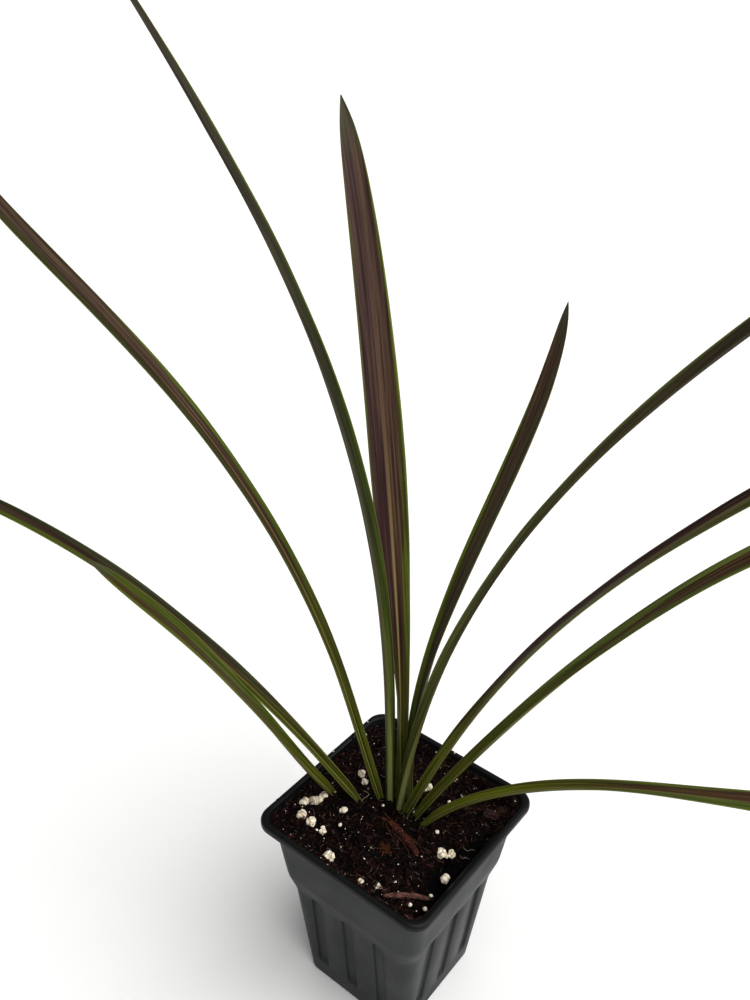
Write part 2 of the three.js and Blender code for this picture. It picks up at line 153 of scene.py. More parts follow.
def add_node(tree: Tree, kind: str, inputs: dict[str, object] | None = None, **settings: object) -> Node:
    """Adds a node with its settings and links.

    Args:
        tree: the node tree that it goes into.
        kind: the node's type.
        inputs: for each input a plain value, an output socket, or a node whose first output it takes.
        settings: the node's own properties.

    Returns:
        The new node.
    """
    node = tree.nodes.new(kind)
    for name, value in settings.items():
        setattr(node, name, value)
    for key, value in (inputs or {}).items():
        target = find_socket(node.inputs, key)
        if isinstance(value, bpy.types.Node):
            value = next(s for s in value.outputs if s.enabled)
        if isinstance(value, bpy.types.NodeSocket):
            tree.links.new(value, target)
        else:
            target.default_value = value
    return node


def calc(tree: Tree, operation: str, *values: object) -> Node:
    """Adds a node that does one sum on up to three numbers."""
    inputs = dict(zip(("Value", "Value_001", "Value_002"), values))
    return add_node(tree, "ShaderNodeMath", inputs, operation=operation)


def vector_calc(tree: Tree, operation: str, vector: object, other: object) -> Node:
    """Adds a node that does one sum on a vector and another one or, to scale it, a number."""
    key = "Scale" if operation == "SCALE" else "Vector_001"
    return add_node(tree, "ShaderNodeVectorMath", {"Vector": vector, key: other}, operation=operation)


def ramp(tree: Tree, value: object, low: float, high: float, start: object = 0.0, end: object = 1.0,
         smooth: bool = False) -> Node:
    """Adds a node that maps a range onto another.

    Args:
        tree: the node tree.
        value: what is mapped.
        low: the value that becomes start.
        high: the value that becomes end.
        start: the beginning of the new range.
        end: the end of it.
        smooth: whether it eases in and out.

    Returns:
        The node.
    """
    inputs = {"Value": value, "From Min": low, "From Max": high, "To Min": start, "To Max": end}
    kind = "SMOOTHSTEP" if smooth else "LINEAR"
    return add_node(tree, "ShaderNodeMapRange", inputs, interpolation_type=kind)


def mix(tree: Tree, factor: object, first: object, second: object) -> Node:
    """Adds a node that mixes two colours.

    Args:
        tree: the node tree.
        factor: the share of the second colour.
        first: a colour or an sRGB hex code.
        second: the other one, given in the same way.

    Returns:
        The node.
    """
    first, second = (linear(c) if isinstance(c, str) else c for c in (first, second))
    inputs = {"Factor_Float": factor, "A_Color": first, "B_Color": second}
    return add_node(tree, "ShaderNodeMix", inputs, data_type="RGBA")


def repeats(size: float) -> float:
    """How often something of this size, in millimetres, goes into a metre."""
    return 1 / (size * MM)


def pattern(tree: Tree, place: object, scale: float, detail: float, roughness: float = 0.5) -> Node:
    """Adds a noise."""
    inputs = {"Vector": place, "Scale": scale, "Detail": detail, "Roughness": roughness}
    return add_node(tree, "ShaderNodeTexNoise", inputs)


def stored(tree: Tree, name: str, output: str) -> Socket:
    """Adds a node that reads an attribute of the mesh."""
    return add_node(tree, "ShaderNodeAttribute", attribute_name=name).outputs[output]


def split(tree: Tree, vector: object) -> list[Socket]:
    """Adds a node that takes a vector apart."""
    return list(add_node(tree, "ShaderNodeSeparateXYZ", {"Vector": vector}).outputs)


def blank_material(name: str) -> tuple[Finish, Tree]:
    """Makes a material with an empty node tree.

    Args:
        name: the material's name.

    Returns:
        The material and its tree.
    """
    material = bpy.data.materials.new(name)
    material.use_nodes = True
    material.node_tree.nodes.clear()
    return material, material.node_tree


def link(name: str, data: bpy.types.ID) -> Piece:
    """Makes an object in the scene.

    Args:
        name: the object's name.
        data: its mesh, light or camera.

    Returns:
        The object.
    """
    made = bpy.data.objects.new(name, data)
    bpy.context.scene.collection.objects.link(made)
    return made


def add_object(name: str, mesh: bpy.types.Mesh, smooth: bool = True) -> Piece:
    """Puts a mesh into the scene as an object at the origin."""
    mesh.polygons.foreach_set("use_smooth", [smooth] * len(mesh.polygons))
    return link(name, mesh)


def end_material(tree: Tree, colour: object, gloss: object, specular: float, height: object,
                 relief: Pair) -> None:
    """Ends a material in a skin with low relief.

    Args:
        tree: the material's node tree.
        colour: its colour.
        gloss: its roughness.
        specular: how strongly it mirrors.
        height: the pattern that is raised.
        relief: the depth of the relief, in millimetres, and its strength.
    """
    depth, strength = relief
    bump = {"Strength": strength, "Distance": depth * MM, "Height": height}
    raised = add_node(tree, "ShaderNodeBump", bump)
    shader = add_node(
        tree, "ShaderNodeBsdfPrincipled",
        {"Base Color": colour, "Roughness": gloss, "Normal": raised, "Specular IOR Level": specular})
    add_node(tree, "ShaderNodeOutputMaterial", {"Surface": shader})


def store(piece: Piece, name: str, values: Sequence | np.ndarray, kind: str = "FLOAT") -> None:
    """Stores an attribute for each point of a piece.

    Args:
        piece: the piece.
        name: the attribute's name.
        values: its value at each point.
        kind: whether that is a number, a vector or a colour.
    """
    layer = piece.data.attributes.new(name, kind, "POINT").data
    key = {"FLOAT": "value", "FLOAT_VECTOR": "vector", "FLOAT_COLOR": "color"}[kind]
    layer.foreach_set(key, np.asarray(values, np.float32).ravel())


def mesh_piece(name: str, points: Points, faces: Faces, finish: Finish) -> Piece:
    """Makes a smooth object.

    Args:
        name: the object's name.
        points: the corner points, in millimetres.
        faces: the corners of each face.
        finish: its material.

    Returns:
        The object, at the origin.
    """
    mesh = bpy.data.meshes.new(name)
    mesh.from_pydata((np.asarray(points, float) * MM).tolist(), [], faces)
    mesh.materials.append(finish)
    mesh.update()
    return add_object(name, mesh)


def bmesh_piece(name: str, shape: bmesh.types.BMesh, finish: Finish, smooth: bool = True) -> Piece:
    """Makes an object from a bmesh, which it frees.

    Args:
        name: the object's name.
        shape: the bmesh, in metres.
        finish: its material.
        smooth: whether it is shaded smooth.

    Returns:
        The object, at the origin.
    """
    mesh = bpy.data.meshes.new(name)
    shape.to_mesh(mesh)
    shape.free()
    mesh.materials.append(finish)
    return add_object(name, mesh, smooth)


def ring_faces(rings: int, count: int) -> list[tuple[int, ...]]:
    """Quads between rings that follow each other in the list of points.

    Args:
        rings: how many rings there are.
        count: how many points each has.

    Returns:
        The corners of each quad.
    """
    return [
        (r * count + i, r * count + (i + 1) % count, (r + 1) * count + (i + 1) % count, (r + 1) * count + i)
        for r in range(rings - 1)
        for i in range(count)
    ]


def tube_piece(name: str, rings: Sequence[Sequence[Point]], finish: Finish, loop: bool = False) -> Piece:
    """Makes a closed object through rings of points.

    Args:
        name: the object's name.
        rings: rings of the same number of points, in millimetres.
        finish: its material.
        loop: whether it is joined end to end and so has no flat ends.

    Returns:
        The object, at the origin.
    """
    count = len(rings[0])
    points = [point for ring in rings for point in ring]
    total = len(points)
    if loop:
        faces = [tuple(k % total for k in face) for face in ring_faces(len(rings) + 1, count)]
    else:
        faces = ring_faces(len(rings), count)
        faces += [tuple(reversed(range(count))), tuple(range(total - count, total))]
    return mesh_piece(name, points, faces, finish)


def baked(piece: Piece) -> Piece:
    """Turns a piece with modifiers into a plain mesh.

    Args:
        piece: the piece.

    Returns:
        The same piece with its new mesh.
    """
    graph = bpy.context.evaluated_depsgraph_get()
    mesh = bpy.data.meshes.new_from_object(piece.evaluated_get(graph))
    piece.modifiers.clear()
    piece.data = mesh
    return piece


def settle(piece: Piece, slot: str, *nodes: str) -> None:
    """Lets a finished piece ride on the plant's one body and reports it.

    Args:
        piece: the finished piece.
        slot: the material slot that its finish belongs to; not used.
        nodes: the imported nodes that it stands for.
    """
    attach(piece, ROOT_BODY)
    if nodes:
        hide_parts(*nodes)
    LOG.info("%s: %d faces, stands for %s", piece.name, len(piece.data.polygons), nodes or "nothing")


# Finishes


@dataclass(frozen=True)
class LeafBlade:
    """Living ti leaf, waxy skin over parallel veins: satin, with long fine streaks that run with the veins, a
    painted shade line beside the rib on the stalk and a painted sheen along its edges.

    Places across the leaf are shares of its half width. A ramp runs across it, over the noise of its
    streaks, or with the flush from the stalk's green to the blade's colours. roughness is the least and
    the most of it, and relief is a depth in millimetres and a strength.
    """

    stalk: str = "#6f781a"
    stalk_edge: str = "#484118"
    # Colour of the dark streaks, and of the painted shade line beside the rib.
    streak_and_fold_shade: str = "#1d130e"
    vein: str = "#7d6c62"
    # Pale colour of the veins, and of the painted sheen along the edges.
    cuticle_and_sheen: str = "#999a5e"
    underside: str = "#3f4230"
    tip: str = "#50523f"
    streak_run: float = 60.0
    broad_share: Point = (0.22, 0.5, 1.0)
    wander: float = 0.08
    raggedness: float = 0.07
    margin_softness: float = 0.05
    stalk_edge_zone: Ramp = (0.5, 0.95, 0.0, 0.8)
    dark_veins: Ramp = (0.36, 0.54, 0.6, 0.0)
    paleness: Ramp = (0.0, 1.0, 0.3, 0.16)
    pale_veins: Pair = (0.54, 0.7)
    vein_line: Ramp = (0.015, 0.05, 0.25, 0.0)
    # Painted shadow: a dark line beside the rib on the stalk, where the folded channel shades itself.
    fold_shadow_place: float = 0.24
    fold_shadow_strength: Ramp = (0.0, 1.0, 0.7, 0.0)
    groove: Pair = (0.05, 0.16)
    rib: Ramp = (0.04, 0.15, 1.0, 0.0)
    # Painted sheen: a pale line along the leaf's edge, mostly sheen with a little of the cuticle's own
    # paleness.
    rim: Ramp = (0.9, 0.97, 0.0, 0.3)
    below: Ramp = (0.0, 1.0, 0.12, 0.0)
    roughness: Pair = (0.44, 0.6)
    specular: float = 0.12
    relief: Pair = (0.2, 0.4)

    def build(self) -> Finish:
        """Builds the finish from the leaf's UV map and its attributes.

        Returns:
            The material.
        """
        material, tree = blank_material("living_leaf_blade")
        across, along, _ = split(tree, add_node(tree, "ShaderNodeUVMap", uv_map="leaf_uv"))
        reach = calc(tree, "ABSOLUTE", across)
        plus, minus, flush = split(tree, stored(tree, "margins", "Vector"))
        rib_strength, is_upper, seed = split(tree, stored(tree, "traits", "Vector"))
        vein_place, tip, vein_count = split(tree, stored(tree, "accents", "Vector"))

        counted = calc(tree, "MULTIPLY", across, vein_count)
        run = calc(tree, "MULTIPLY", along, repeats(self.streak_run))
        place = add_node(tree, "ShaderNodeCombineXYZ", {"X": counted, "Y": run, "Z": seed})
        fine = pattern(tree, place, 1.0, 3.0, 0.7)
        broad = pattern(tree, vector_calc(tree, "MULTIPLY", place, self.broad_share), 1.0, 2.0)
        wander = ramp(tree, broad, NOISE_LOW, NOISE_HIGH, -self.wander, self.wander)
        ragged = ramp(tree, fine, NOISE_LOW, NOISE_HIGH, -self.raggedness, self.raggedness)
        drift = calc(tree, "ADD", wander, ragged)

        stalk = mix(tree, ramp(tree, reach, *self.stalk_edge_zone), self.stalk, self.stalk_edge)
        body = mix(tree, flush, stalk, stored(tree, "centre_tint", "Color"))
        inner, outer = 1 - self.margin_softness, 1 + self.margin_softness
        for sign, width, tint in ((1.0, plus, "plus_tint"), (-1.0, minus, "minus_tint")):
            past = calc(tree, "ADD", calc(tree, "MULTIPLY_ADD", across, sign, drift), width)
            present = calc(tree, "MULTIPLY", ramp(tree, past, inner, outer, smooth=True), flush)
            body = mix(tree, present, body, stored(tree, tint, "Color"))

        body = mix(tree, ramp(tree, fine, *self.dark_veins), body, self.streak_and_fold_shade)
        paleness = ramp(tree, flush, *self.paleness)
        body = mix(tree, ramp(tree, fine, *self.pale_veins, 0.0, paleness), body, self.cuticle_and_sheen)
        gap = calc(tree, "ABSOLUTE", calc(tree, "SUBTRACT", across, vein_place))
        body = mix(tree, ramp(tree, gap, *self.vein_line), body, self.vein)
        # Painted shadow of the folded channel: a dark line beside the rib, on the stalk only.
        beside = calc(tree, "ABSOLUTE", calc(tree, "ADD", across, self.fold_shadow_place))
        depth = ramp(tree, flush, *self.fold_shadow_strength)
        body = mix(tree, ramp(tree, beside, *self.groove, depth, 0.0), body, self.streak_and_fold_shade)
        rib = calc(tree, "MULTIPLY", ramp(tree, reach, *self.rib, smooth=True), rib_strength)
        body = mix(tree, rib, body, stored(tree, "rib_tint", "Color"))
        # Painted sheen along the edge, in the pale cuticle colour.
        body = mix(tree, ramp(tree, reach, *self.rim), body, self.cuticle_and_sheen)
        body = mix(tree, tip, body, self.tip)
        body = mix(tree, ramp(tree, is_upper, *self.below), body, self.underside)
        gloss = ramp(tree, broad, NOISE_LOW, NOISE_HIGH, *self.roughness)
        end_material(tree, body, gloss, self.specular, fine, self.relief)
        return material


@dataclass(frozen=True)
class MouldedPolypropylene:
    """Black polypropylene from an injection mould: a charcoal satin with faint flow marks, scuffs and dust.

    Its lip is painted darker from a set height on, in millimetres: painted shade on the lip's top and outer
    side.
    roughness is the least and the most of it, and relief is a depth in millimetres and a strength.
    """

    plastic: str = "#2a2c2d"
    worn: str = "#434647"
    # Colour of the painted shade on the lip.
    lip: str = "#0b0d0e"
    lip_shade_from: float = 101.2
    lip_shade_strength: float = 0.85
    dust: str = "#3d332b"
    grain: float = 0.6
    flow: float = 22.0
    scuff_length: float = 9.0
    scuff_turn: Point = (0.4, 0.5, 0.6)
    scuff_stretch: Point = (1.0, 12.0, 12.0)
    scuffs: Ramp = (0.63, 0.74, 0.0, 0.35)
    dust_patch: float = 12.0
    dusting: Ramp = (0.56, 0.8, 0.0, 0.4)
    roughness: Pair = (0.37, 0.52)
    specular: float = 0.28
    relief: Pair = (0.06, 0.25)

    def build(self) -> Finish:
        """Builds the finish on Object coordinates.

        Returns:
            The material.
        """
        material, tree = blank_material("moulded_black_polypropylene")
        place = add_node(tree, "ShaderNodeTexCoord").outputs["Object"]
        flow = pattern(tree, place, repeats(self.flow), 3.0)
        grain = pattern(tree, place, repeats(self.grain), 2.0)
        turned = {"Vector": place, "Rotation": self.scuff_turn, "Scale": self.scuff_stretch}
        slanted = add_node(tree, "ShaderNodeMapping", turned)
        scratch = pattern(tree, slanted, repeats(self.scuff_length), 4.0, 0.7)
        patch = pattern(tree, place, repeats(self.dust_patch), 7.0, 0.75)
        lip_low, lip_high = self.lip_shade_from * MM, (self.lip_shade_from + 1) * MM
        on_lip = ramp(tree, split(tree, place)[2], lip_low, lip_high, 0.0, self.lip_shade_strength)
        colour = mix(tree, ramp(tree, scratch, *self.scuffs), self.plastic, self.worn)
        colour = mix(tree, ramp(tree, patch, *self.dusting), colour, self.dust)
        # Painted shade: the lip darkened nearly to black from the set height up.
        colour = mix(tree, on_lip, colour, self.lip)
        gloss = ramp(tree, flow, NOISE_LOW, NOISE_HIGH, *self.roughness)
        end_material(tree, colour, gloss, self.specular, grain, self.relief)
        return material


@dataclass(frozen=True)
class Grit:
    """Crumbly matter: two colours in patches, bright specks, and a darker colour where the shape is creased,
    which on the peat is painted shade.

    patch, grit and relief are in millimetres, and grain stretches the pattern along X, Y and Z.
    """

    name: str
    dark: str
    light: str
    accent: str
    patch: float
    grit: float
    relief: float
    roughness: float = 0.8
    specular: float = 0.3
    accent_from: float = 0.58
    accent_strength: float = 0.8
    crease_colour: str = "#000000"
    crease_strength: float = 0.0
    grain: Point = (1.0, 1.0, 1.0)
    patch_edge: Pair = (0.38, 0.62)
    accent_edge: float = 0.12
    gloss_edge: Pair = (0.35, 0.65)
    gloss_spread: float = 0.15
    relief_strength: float = 0.7

    def build(self) -> Finish:
        """Builds the finish on Object coordinates.

        Returns:
            The material.
        """
        material, tree = blank_material(self.name)
        whole = add_node(tree, "ShaderNodeTexCoord").outputs["Object"]
        place = add_node(tree, "ShaderNodeMapping", {"Vector": whole, "Scale": self.grain})
        patches = pattern(tree, place, repeats(self.patch), 5.0, 0.65)
        specks = pattern(tree, place, repeats(self.grit), 3.0, 0.6)
        colour = mix(tree, ramp(tree, patches, *self.patch_edge), self.dark, self.light)
        accent_to = self.accent_from + self.accent_edge
        bright = ramp(tree, specks, self.accent_from, accent_to, 0.0, self.accent_strength)
        colour = mix(tree, bright, colour, self.accent)
        # The crease colour: painted shade on the peat, a brown tone on the perlite.
        crease_share = calc(tree, "MULTIPLY", stored(tree, "crease", "Fac"), self.crease_strength)
        colour = mix(tree, crease_share, colour, self.crease_colour)
        smoothest, roughest = self.roughness - self.gloss_spread, self.roughness + self.gloss_spread
        gloss = ramp(tree, patches, *self.gloss_edge, smoothest, roughest)
        end_material(tree, colour, gloss, self.specular, specks, (self.relief, self.relief_strength))
        return material


# Damp peat: nearly black, with red-brown fibre and a wet glint here and there, and near black painted shade
# in its pits and in the dip at the +X wall.
DAMP_PEAT = Grit(
    "damp_peat", "#020101", "#190907", "#4a2218", 2.8, 0.7, 0.9, 0.75, 0.12, accent_strength=0.5,
    crease_colour="#010101", crease_strength=0.95)
# Composted fine bark: red-brown slivers, darker where they are wet.
COMPOSTED_BARK = Grit("composted_bark", "#0a0303", "#35130c", "#8a4c38", 5.5, 0.9, 0.3, 0.6, 0.25, 0.6)
# Pine bark strip: long red-brown grain with darker grooves.
BARK_STRIP = Grit(
    "pine_bark", "#1e0b07", "#54291c", "#9c6a52", 1.3, 0.5, 0.35, 0.75, 0.2, grain=(0.25, 1.0, 1.0))
# Weathered bark: dark and dull, with a few paler flakes.
OLD_BARK = Grit(
    "weathered_bark", "#1a0d0a", "#46302a", "#7d6256", 1.4, 0.5, 0.5, 0.85, 0.2, accent_strength=0.6)
# Weathered twig: greyer and duller than the bark.
TWIG = Grit("weathered_twig", "#4a322b", "#7d5a4f", "#a58376", 2.5, 0.6, 0.25, 0.8, 0.2)
# Coir: straw to rust fibre with a dry sheen.
COIR = Grit("coir_fibre", "#57301c", "#936039", "#c99c70", 3.0, 1.0, 0.05, 0.65, 0.3)
# Weathered coir: greyer, where it has lain in the open.
DULL_COIR = Grit("weathered_coir", "#3a241c", "#6d4b3d", "#a58a78", 3.0, 1.0, 0.05, 0.75, 0.2)
# Dead rootlets: bleached nearly white.
ROOTLET = Grit("bleached_rootlet", "#8a7b71", "#bcb0a5", "#e6ded4", 5.0, 1.0, 0.05, 0.7, 0.3)
# Expanded perlite: chalk white popcorn of glass foam, brown in its creases, where its cells meet.
PERLITE = Grit(
    "expanded_perlite", "#d8c9aa", "#efe8d8", "#f8f4ea", 2.0, 0.45, 0.14, 0.85, 0.3, 0.5,
    crease_colour="#7a5c3e", crease_strength=0.6)
# Root bark: pale corky skin over a woody rootstock.
ROOT_SKIN = Grit("root_skin", "#7a5a3a", "#a2835c", "#c4a97f", 5.0, 1.0, 0.2, 0.7, 0.3)
# Seamless paper sweep: matt and almost white.
PAPER = Grit("seamless_paper", "#f3f3f2", "#f5f5f4", "#f6f6f5", 900.0, 300.0, 0.01, 0.84, 0.1)


# Geometry Nodes


class Laying(Enum):
    """How scattered bits lie: the largest tilt from level, in radians."""

    TUMBLED = math.pi
    FLAT = 0.45


def strew(tree: Tree, given: bpy.types.NodeOutputs, bit: object, turn: Node, size: Node) -> Node:
    """Adds turned copies of a bit over a surface, as many as its cover and density say.

    Args:
        tree: the node tree.
        given: its inputs, with the surface as Geometry.
        bit: the shape that is strewn.
        turn: the turn of each copy.
        size: the size of each copy.

    Returns:
        The node that gives the copies.
    """
    cover = add_node(tree, "GeometryNodeInputNamedAttribute", {"Name": "cover"}, data_type="FLOAT")
    density = calc(tree, "MULTIPLY", cover, given["Density"])
    limits = {"Mesh": given["Geometry"], "Density": density, "Seed": given["Seed"]}
    spots = add_node(tree, "GeometryNodeDistributePointsOnFaces", limits).outputs["Points"]
    copies = {"Points": spots, "Instance": bit, "Rotation": turn, "Scale": size}
    return add_node(tree, "GeometryNodeInstanceOnPoints", copies)


def node_tree(name: str, inputs: dict[str, str]) -> tuple[Tree, bpy.types.NodeOutputs]:
    """Starts a Geometry Nodes tree.

    Args:
        name: the tree's name.
        inputs: the name and socket type of each input after the geometry.

    Returns:
        The tree and the outputs of its group input.
    """
    tree = bpy.data.node_groups.new(name, "GeometryNodeTree")
    tree.interface.new_socket("Geometry", in_out="INPUT", socket_type="NodeSocketGeometry")
    tree.interface.new_socket("Geometry", in_out="OUTPUT", socket_type="NodeSocketGeometry")
    for label, kind in inputs.items():
        tree.interface.new_socket(label, in_out="INPUT", socket_type="NodeSocket" + kind)
    return tree, tree.nodes.new("NodeGroupInput").outputs


def end_tree(tree: Tree, geometry: Node, finish: Socket) -> None:
    """Ends a tree in real geometry with its finish.

    Args:
        tree: the node tree.
        geometry: what it has made.
        finish: the input that names the finish.
    """
    real = add_node(tree, "GeometryNodeRealizeInstances", {"Geometry": geometry})
    dressed = add_node(tree, "GeometryNodeSetMaterial", {"Geometry": real, "Material": finish})
    add_node(tree, "NodeGroupOutput", {"Geometry": dressed})


def spin_range(tree: Tree, tilt_x: object, tilt_y: object, seed: object) -> Node:
    """Adds random turns: any turn about Z, and some tilt about X and Y.

    Args:
        tree: the node tree.
        tilt_x: the largest tilt about X, in radians.
        tilt_y: the largest tilt about Y.
        seed: the seed of the turns.

    Returns:
        The node that gives them.
    """
    ends = []
    for sign, turn in ((-1.0, 0.0), (1.0, math.tau)):
        x, y = (calc(tree, "MULTIPLY", tilt, sign) for tilt in (tilt_x, tilt_y))
        ends.append(add_node(tree, "ShaderNodeCombineXYZ", {"X": x, "Y": y, "Z": turn}))
    limits = {"Min": ends[0], "Max": ends[1], "Seed": seed}
    return add_node(tree, "FunctionNodeRandomValue", limits, data_type="FLOAT_VECTOR")


def scatter_tree() -> Tree:
    """Builds the tree that strews turned copies of a small lump over a surface.

    Returns:
        The tree, whose inputs are Lump, Density, Smallest, Largest, Tilt, Seed and Finish.
    """
    kinds = {"Lump": "Object", "Density": "Float", "Smallest": "Float", "Largest": "Float", "Tilt": "Float",
             "Seed": "Int", "Finish": "Material"}
    tree, given = node_tree("strewn_bits", kinds)
    turn = spin_range(tree, given["Tilt"], given["Tilt"], given["Seed"])
    draw = add_node(tree, "FunctionNodeRandomValue", {"Seed": 11}, data_type="FLOAT")
    mostly_small = calc(tree, "POWER", draw, 2.2)
    size = ramp(tree, mostly_small, 0.0, 1.0, given["Smallest"], given["Largest"])
    lump = add_node(tree, "GeometryNodeObjectInfo", {"Object": given["Lump"], "As Instance": True})
    end_tree(tree, strew(tree, given, lump.outputs["Geometry"], turn, size), given["Finish"])
    return tree


def fibre_tree() -> Tree:
    """Builds the tree that lays bent fibres over a surface.

    Returns:
        The tree, whose inputs are Density, Shortest, Longest, Radius, Bend, Bend Size, Tilt, Seed and Finish.
    """
    kinds = {"Density": "Float", "Shortest": "Float", "Longest": "Float", "Radius": "Float", "Bend": "Float",
             "Bend Size": "Float", "Tilt": "Float", "Seed": "Int", "Finish": "Material"}
    tree, given = node_tree("laid_fibres", kinds)
    turn = spin_range(tree, 0.0, given["Tilt"], given["Seed"])
    lengths = {"Min_001": given["Shortest"], "Max_001": given["Longest"], "Seed": 5}
    length = add_node(tree, "FunctionNodeRandomValue", lengths, data_type="FLOAT")
    ends = {"Start": (-0.5, 0.0, 0.0), "End": (0.5, 0.0, 0.0)}
    straight = add_node(tree, "GeometryNodeCurvePrimitiveLine", ends)
    stepped = add_node(tree, "GeometryNodeResampleCurve", {"Curve": straight, "Count": 10})
    strewn = strew(tree, given, stepped, turn, length)
    real = add_node(tree, "GeometryNodeRealizeInstances", {"Geometry": strewn})
    wave = add_node(tree, "ShaderNodeTexNoise", {"Scale": given["Bend Size"], "Detail": 1.0}).outputs["Color"]
    centred = vector_calc(tree, "SUBTRACT", wave, (0.5, 0.5, 0.5))
    push = vector_calc(tree, "SCALE", centred, given["Bend"])
    bent = add_node(tree, "GeometryNodeSetPosition", {"Geometry": real, "Offset": push})
    section = add_node(tree, "GeometryNodeCurvePrimitiveCircle", {"Resolution": 3, "Radius": given["Radius"]})
    swept = {"Curve": bent, "Profile Curve": section, "Fill Caps": True}
    end_tree(tree, add_node(tree, "GeometryNodeCurveToMesh", swept), given["Finish"])
    return tree


def relief_tree() -> Tree:
    """Builds the tree that raises a weathered skin on a piece, with a coarse and a fine noise.

    Returns:
        The tree, whose inputs are Coarse Size, Coarse Height, Fine Size, Fine Height, Seed and Finish.
    """
    kinds = {"Coarse Size": "Float", "Coarse Height": "Float", "Fine Size": "Float", "Fine Height": "Float",
             "Seed": "Float", "Finish": "Material"}
    tree, given = node_tree("weathered_skin", kinds)
    raised = []
    for grade in ("Coarse", "Fine"):
        scale = calc(tree, "DIVIDE", 1.0, given[f"{grade} Size"])
        inputs = {"W": given["Seed"], "Scale": scale, "Detail": 2.0}
        wave = add_node(tree, "ShaderNodeTexNoise", inputs, noise_dimensions="4D")
        centred = calc(tree, "SUBTRACT", wave, 0.5)
        raised.append(calc(tree, "MULTIPLY", centred, given[f"{grade} Height"]))
    push = vector_calc(tree, "SCALE", add_node(tree, "GeometryNodeInputNormal"), calc(tree, "ADD", *raised))
    moved = add_node(tree, "GeometryNodeSetPosition", {"Geometry": given["Geometry"], "Offset": push})
    end_tree(tree, moved, given["Finish"])
    return tree


def grow(piece: Piece, tree: Tree, values: dict[str, object]) -> Piece:
    """Runs a tree on a piece and leaves its result as the piece's plain mesh.

    Args:
        piece: the piece that the tree starts from.
        tree: the Geometry Nodes tree.
        values: a value for each named input.

    Returns:
        The same piece with its new mesh.
    """
    modifier = piece.modifiers.new(tree.name, "NODES")
    modifier.node_group = tree
    for item in tree.interface.items_tree:
        if item.in_out == "INPUT" and item.name in values:
            modifier[item.identifier] = values[item.name]
    return baked(piece)


# The pot


@dataclass(frozen=True)
class Level:
    """One corner of the pot's profile.

    half is the half width of the square there, corner the radius of its corners, soften how far from this
    point the bend of the profile starts, and inset how far inside the outer face the wall lies.
    """

    half: float
    z: float
    corner: float
    soften: float
    inset: float = 0.0


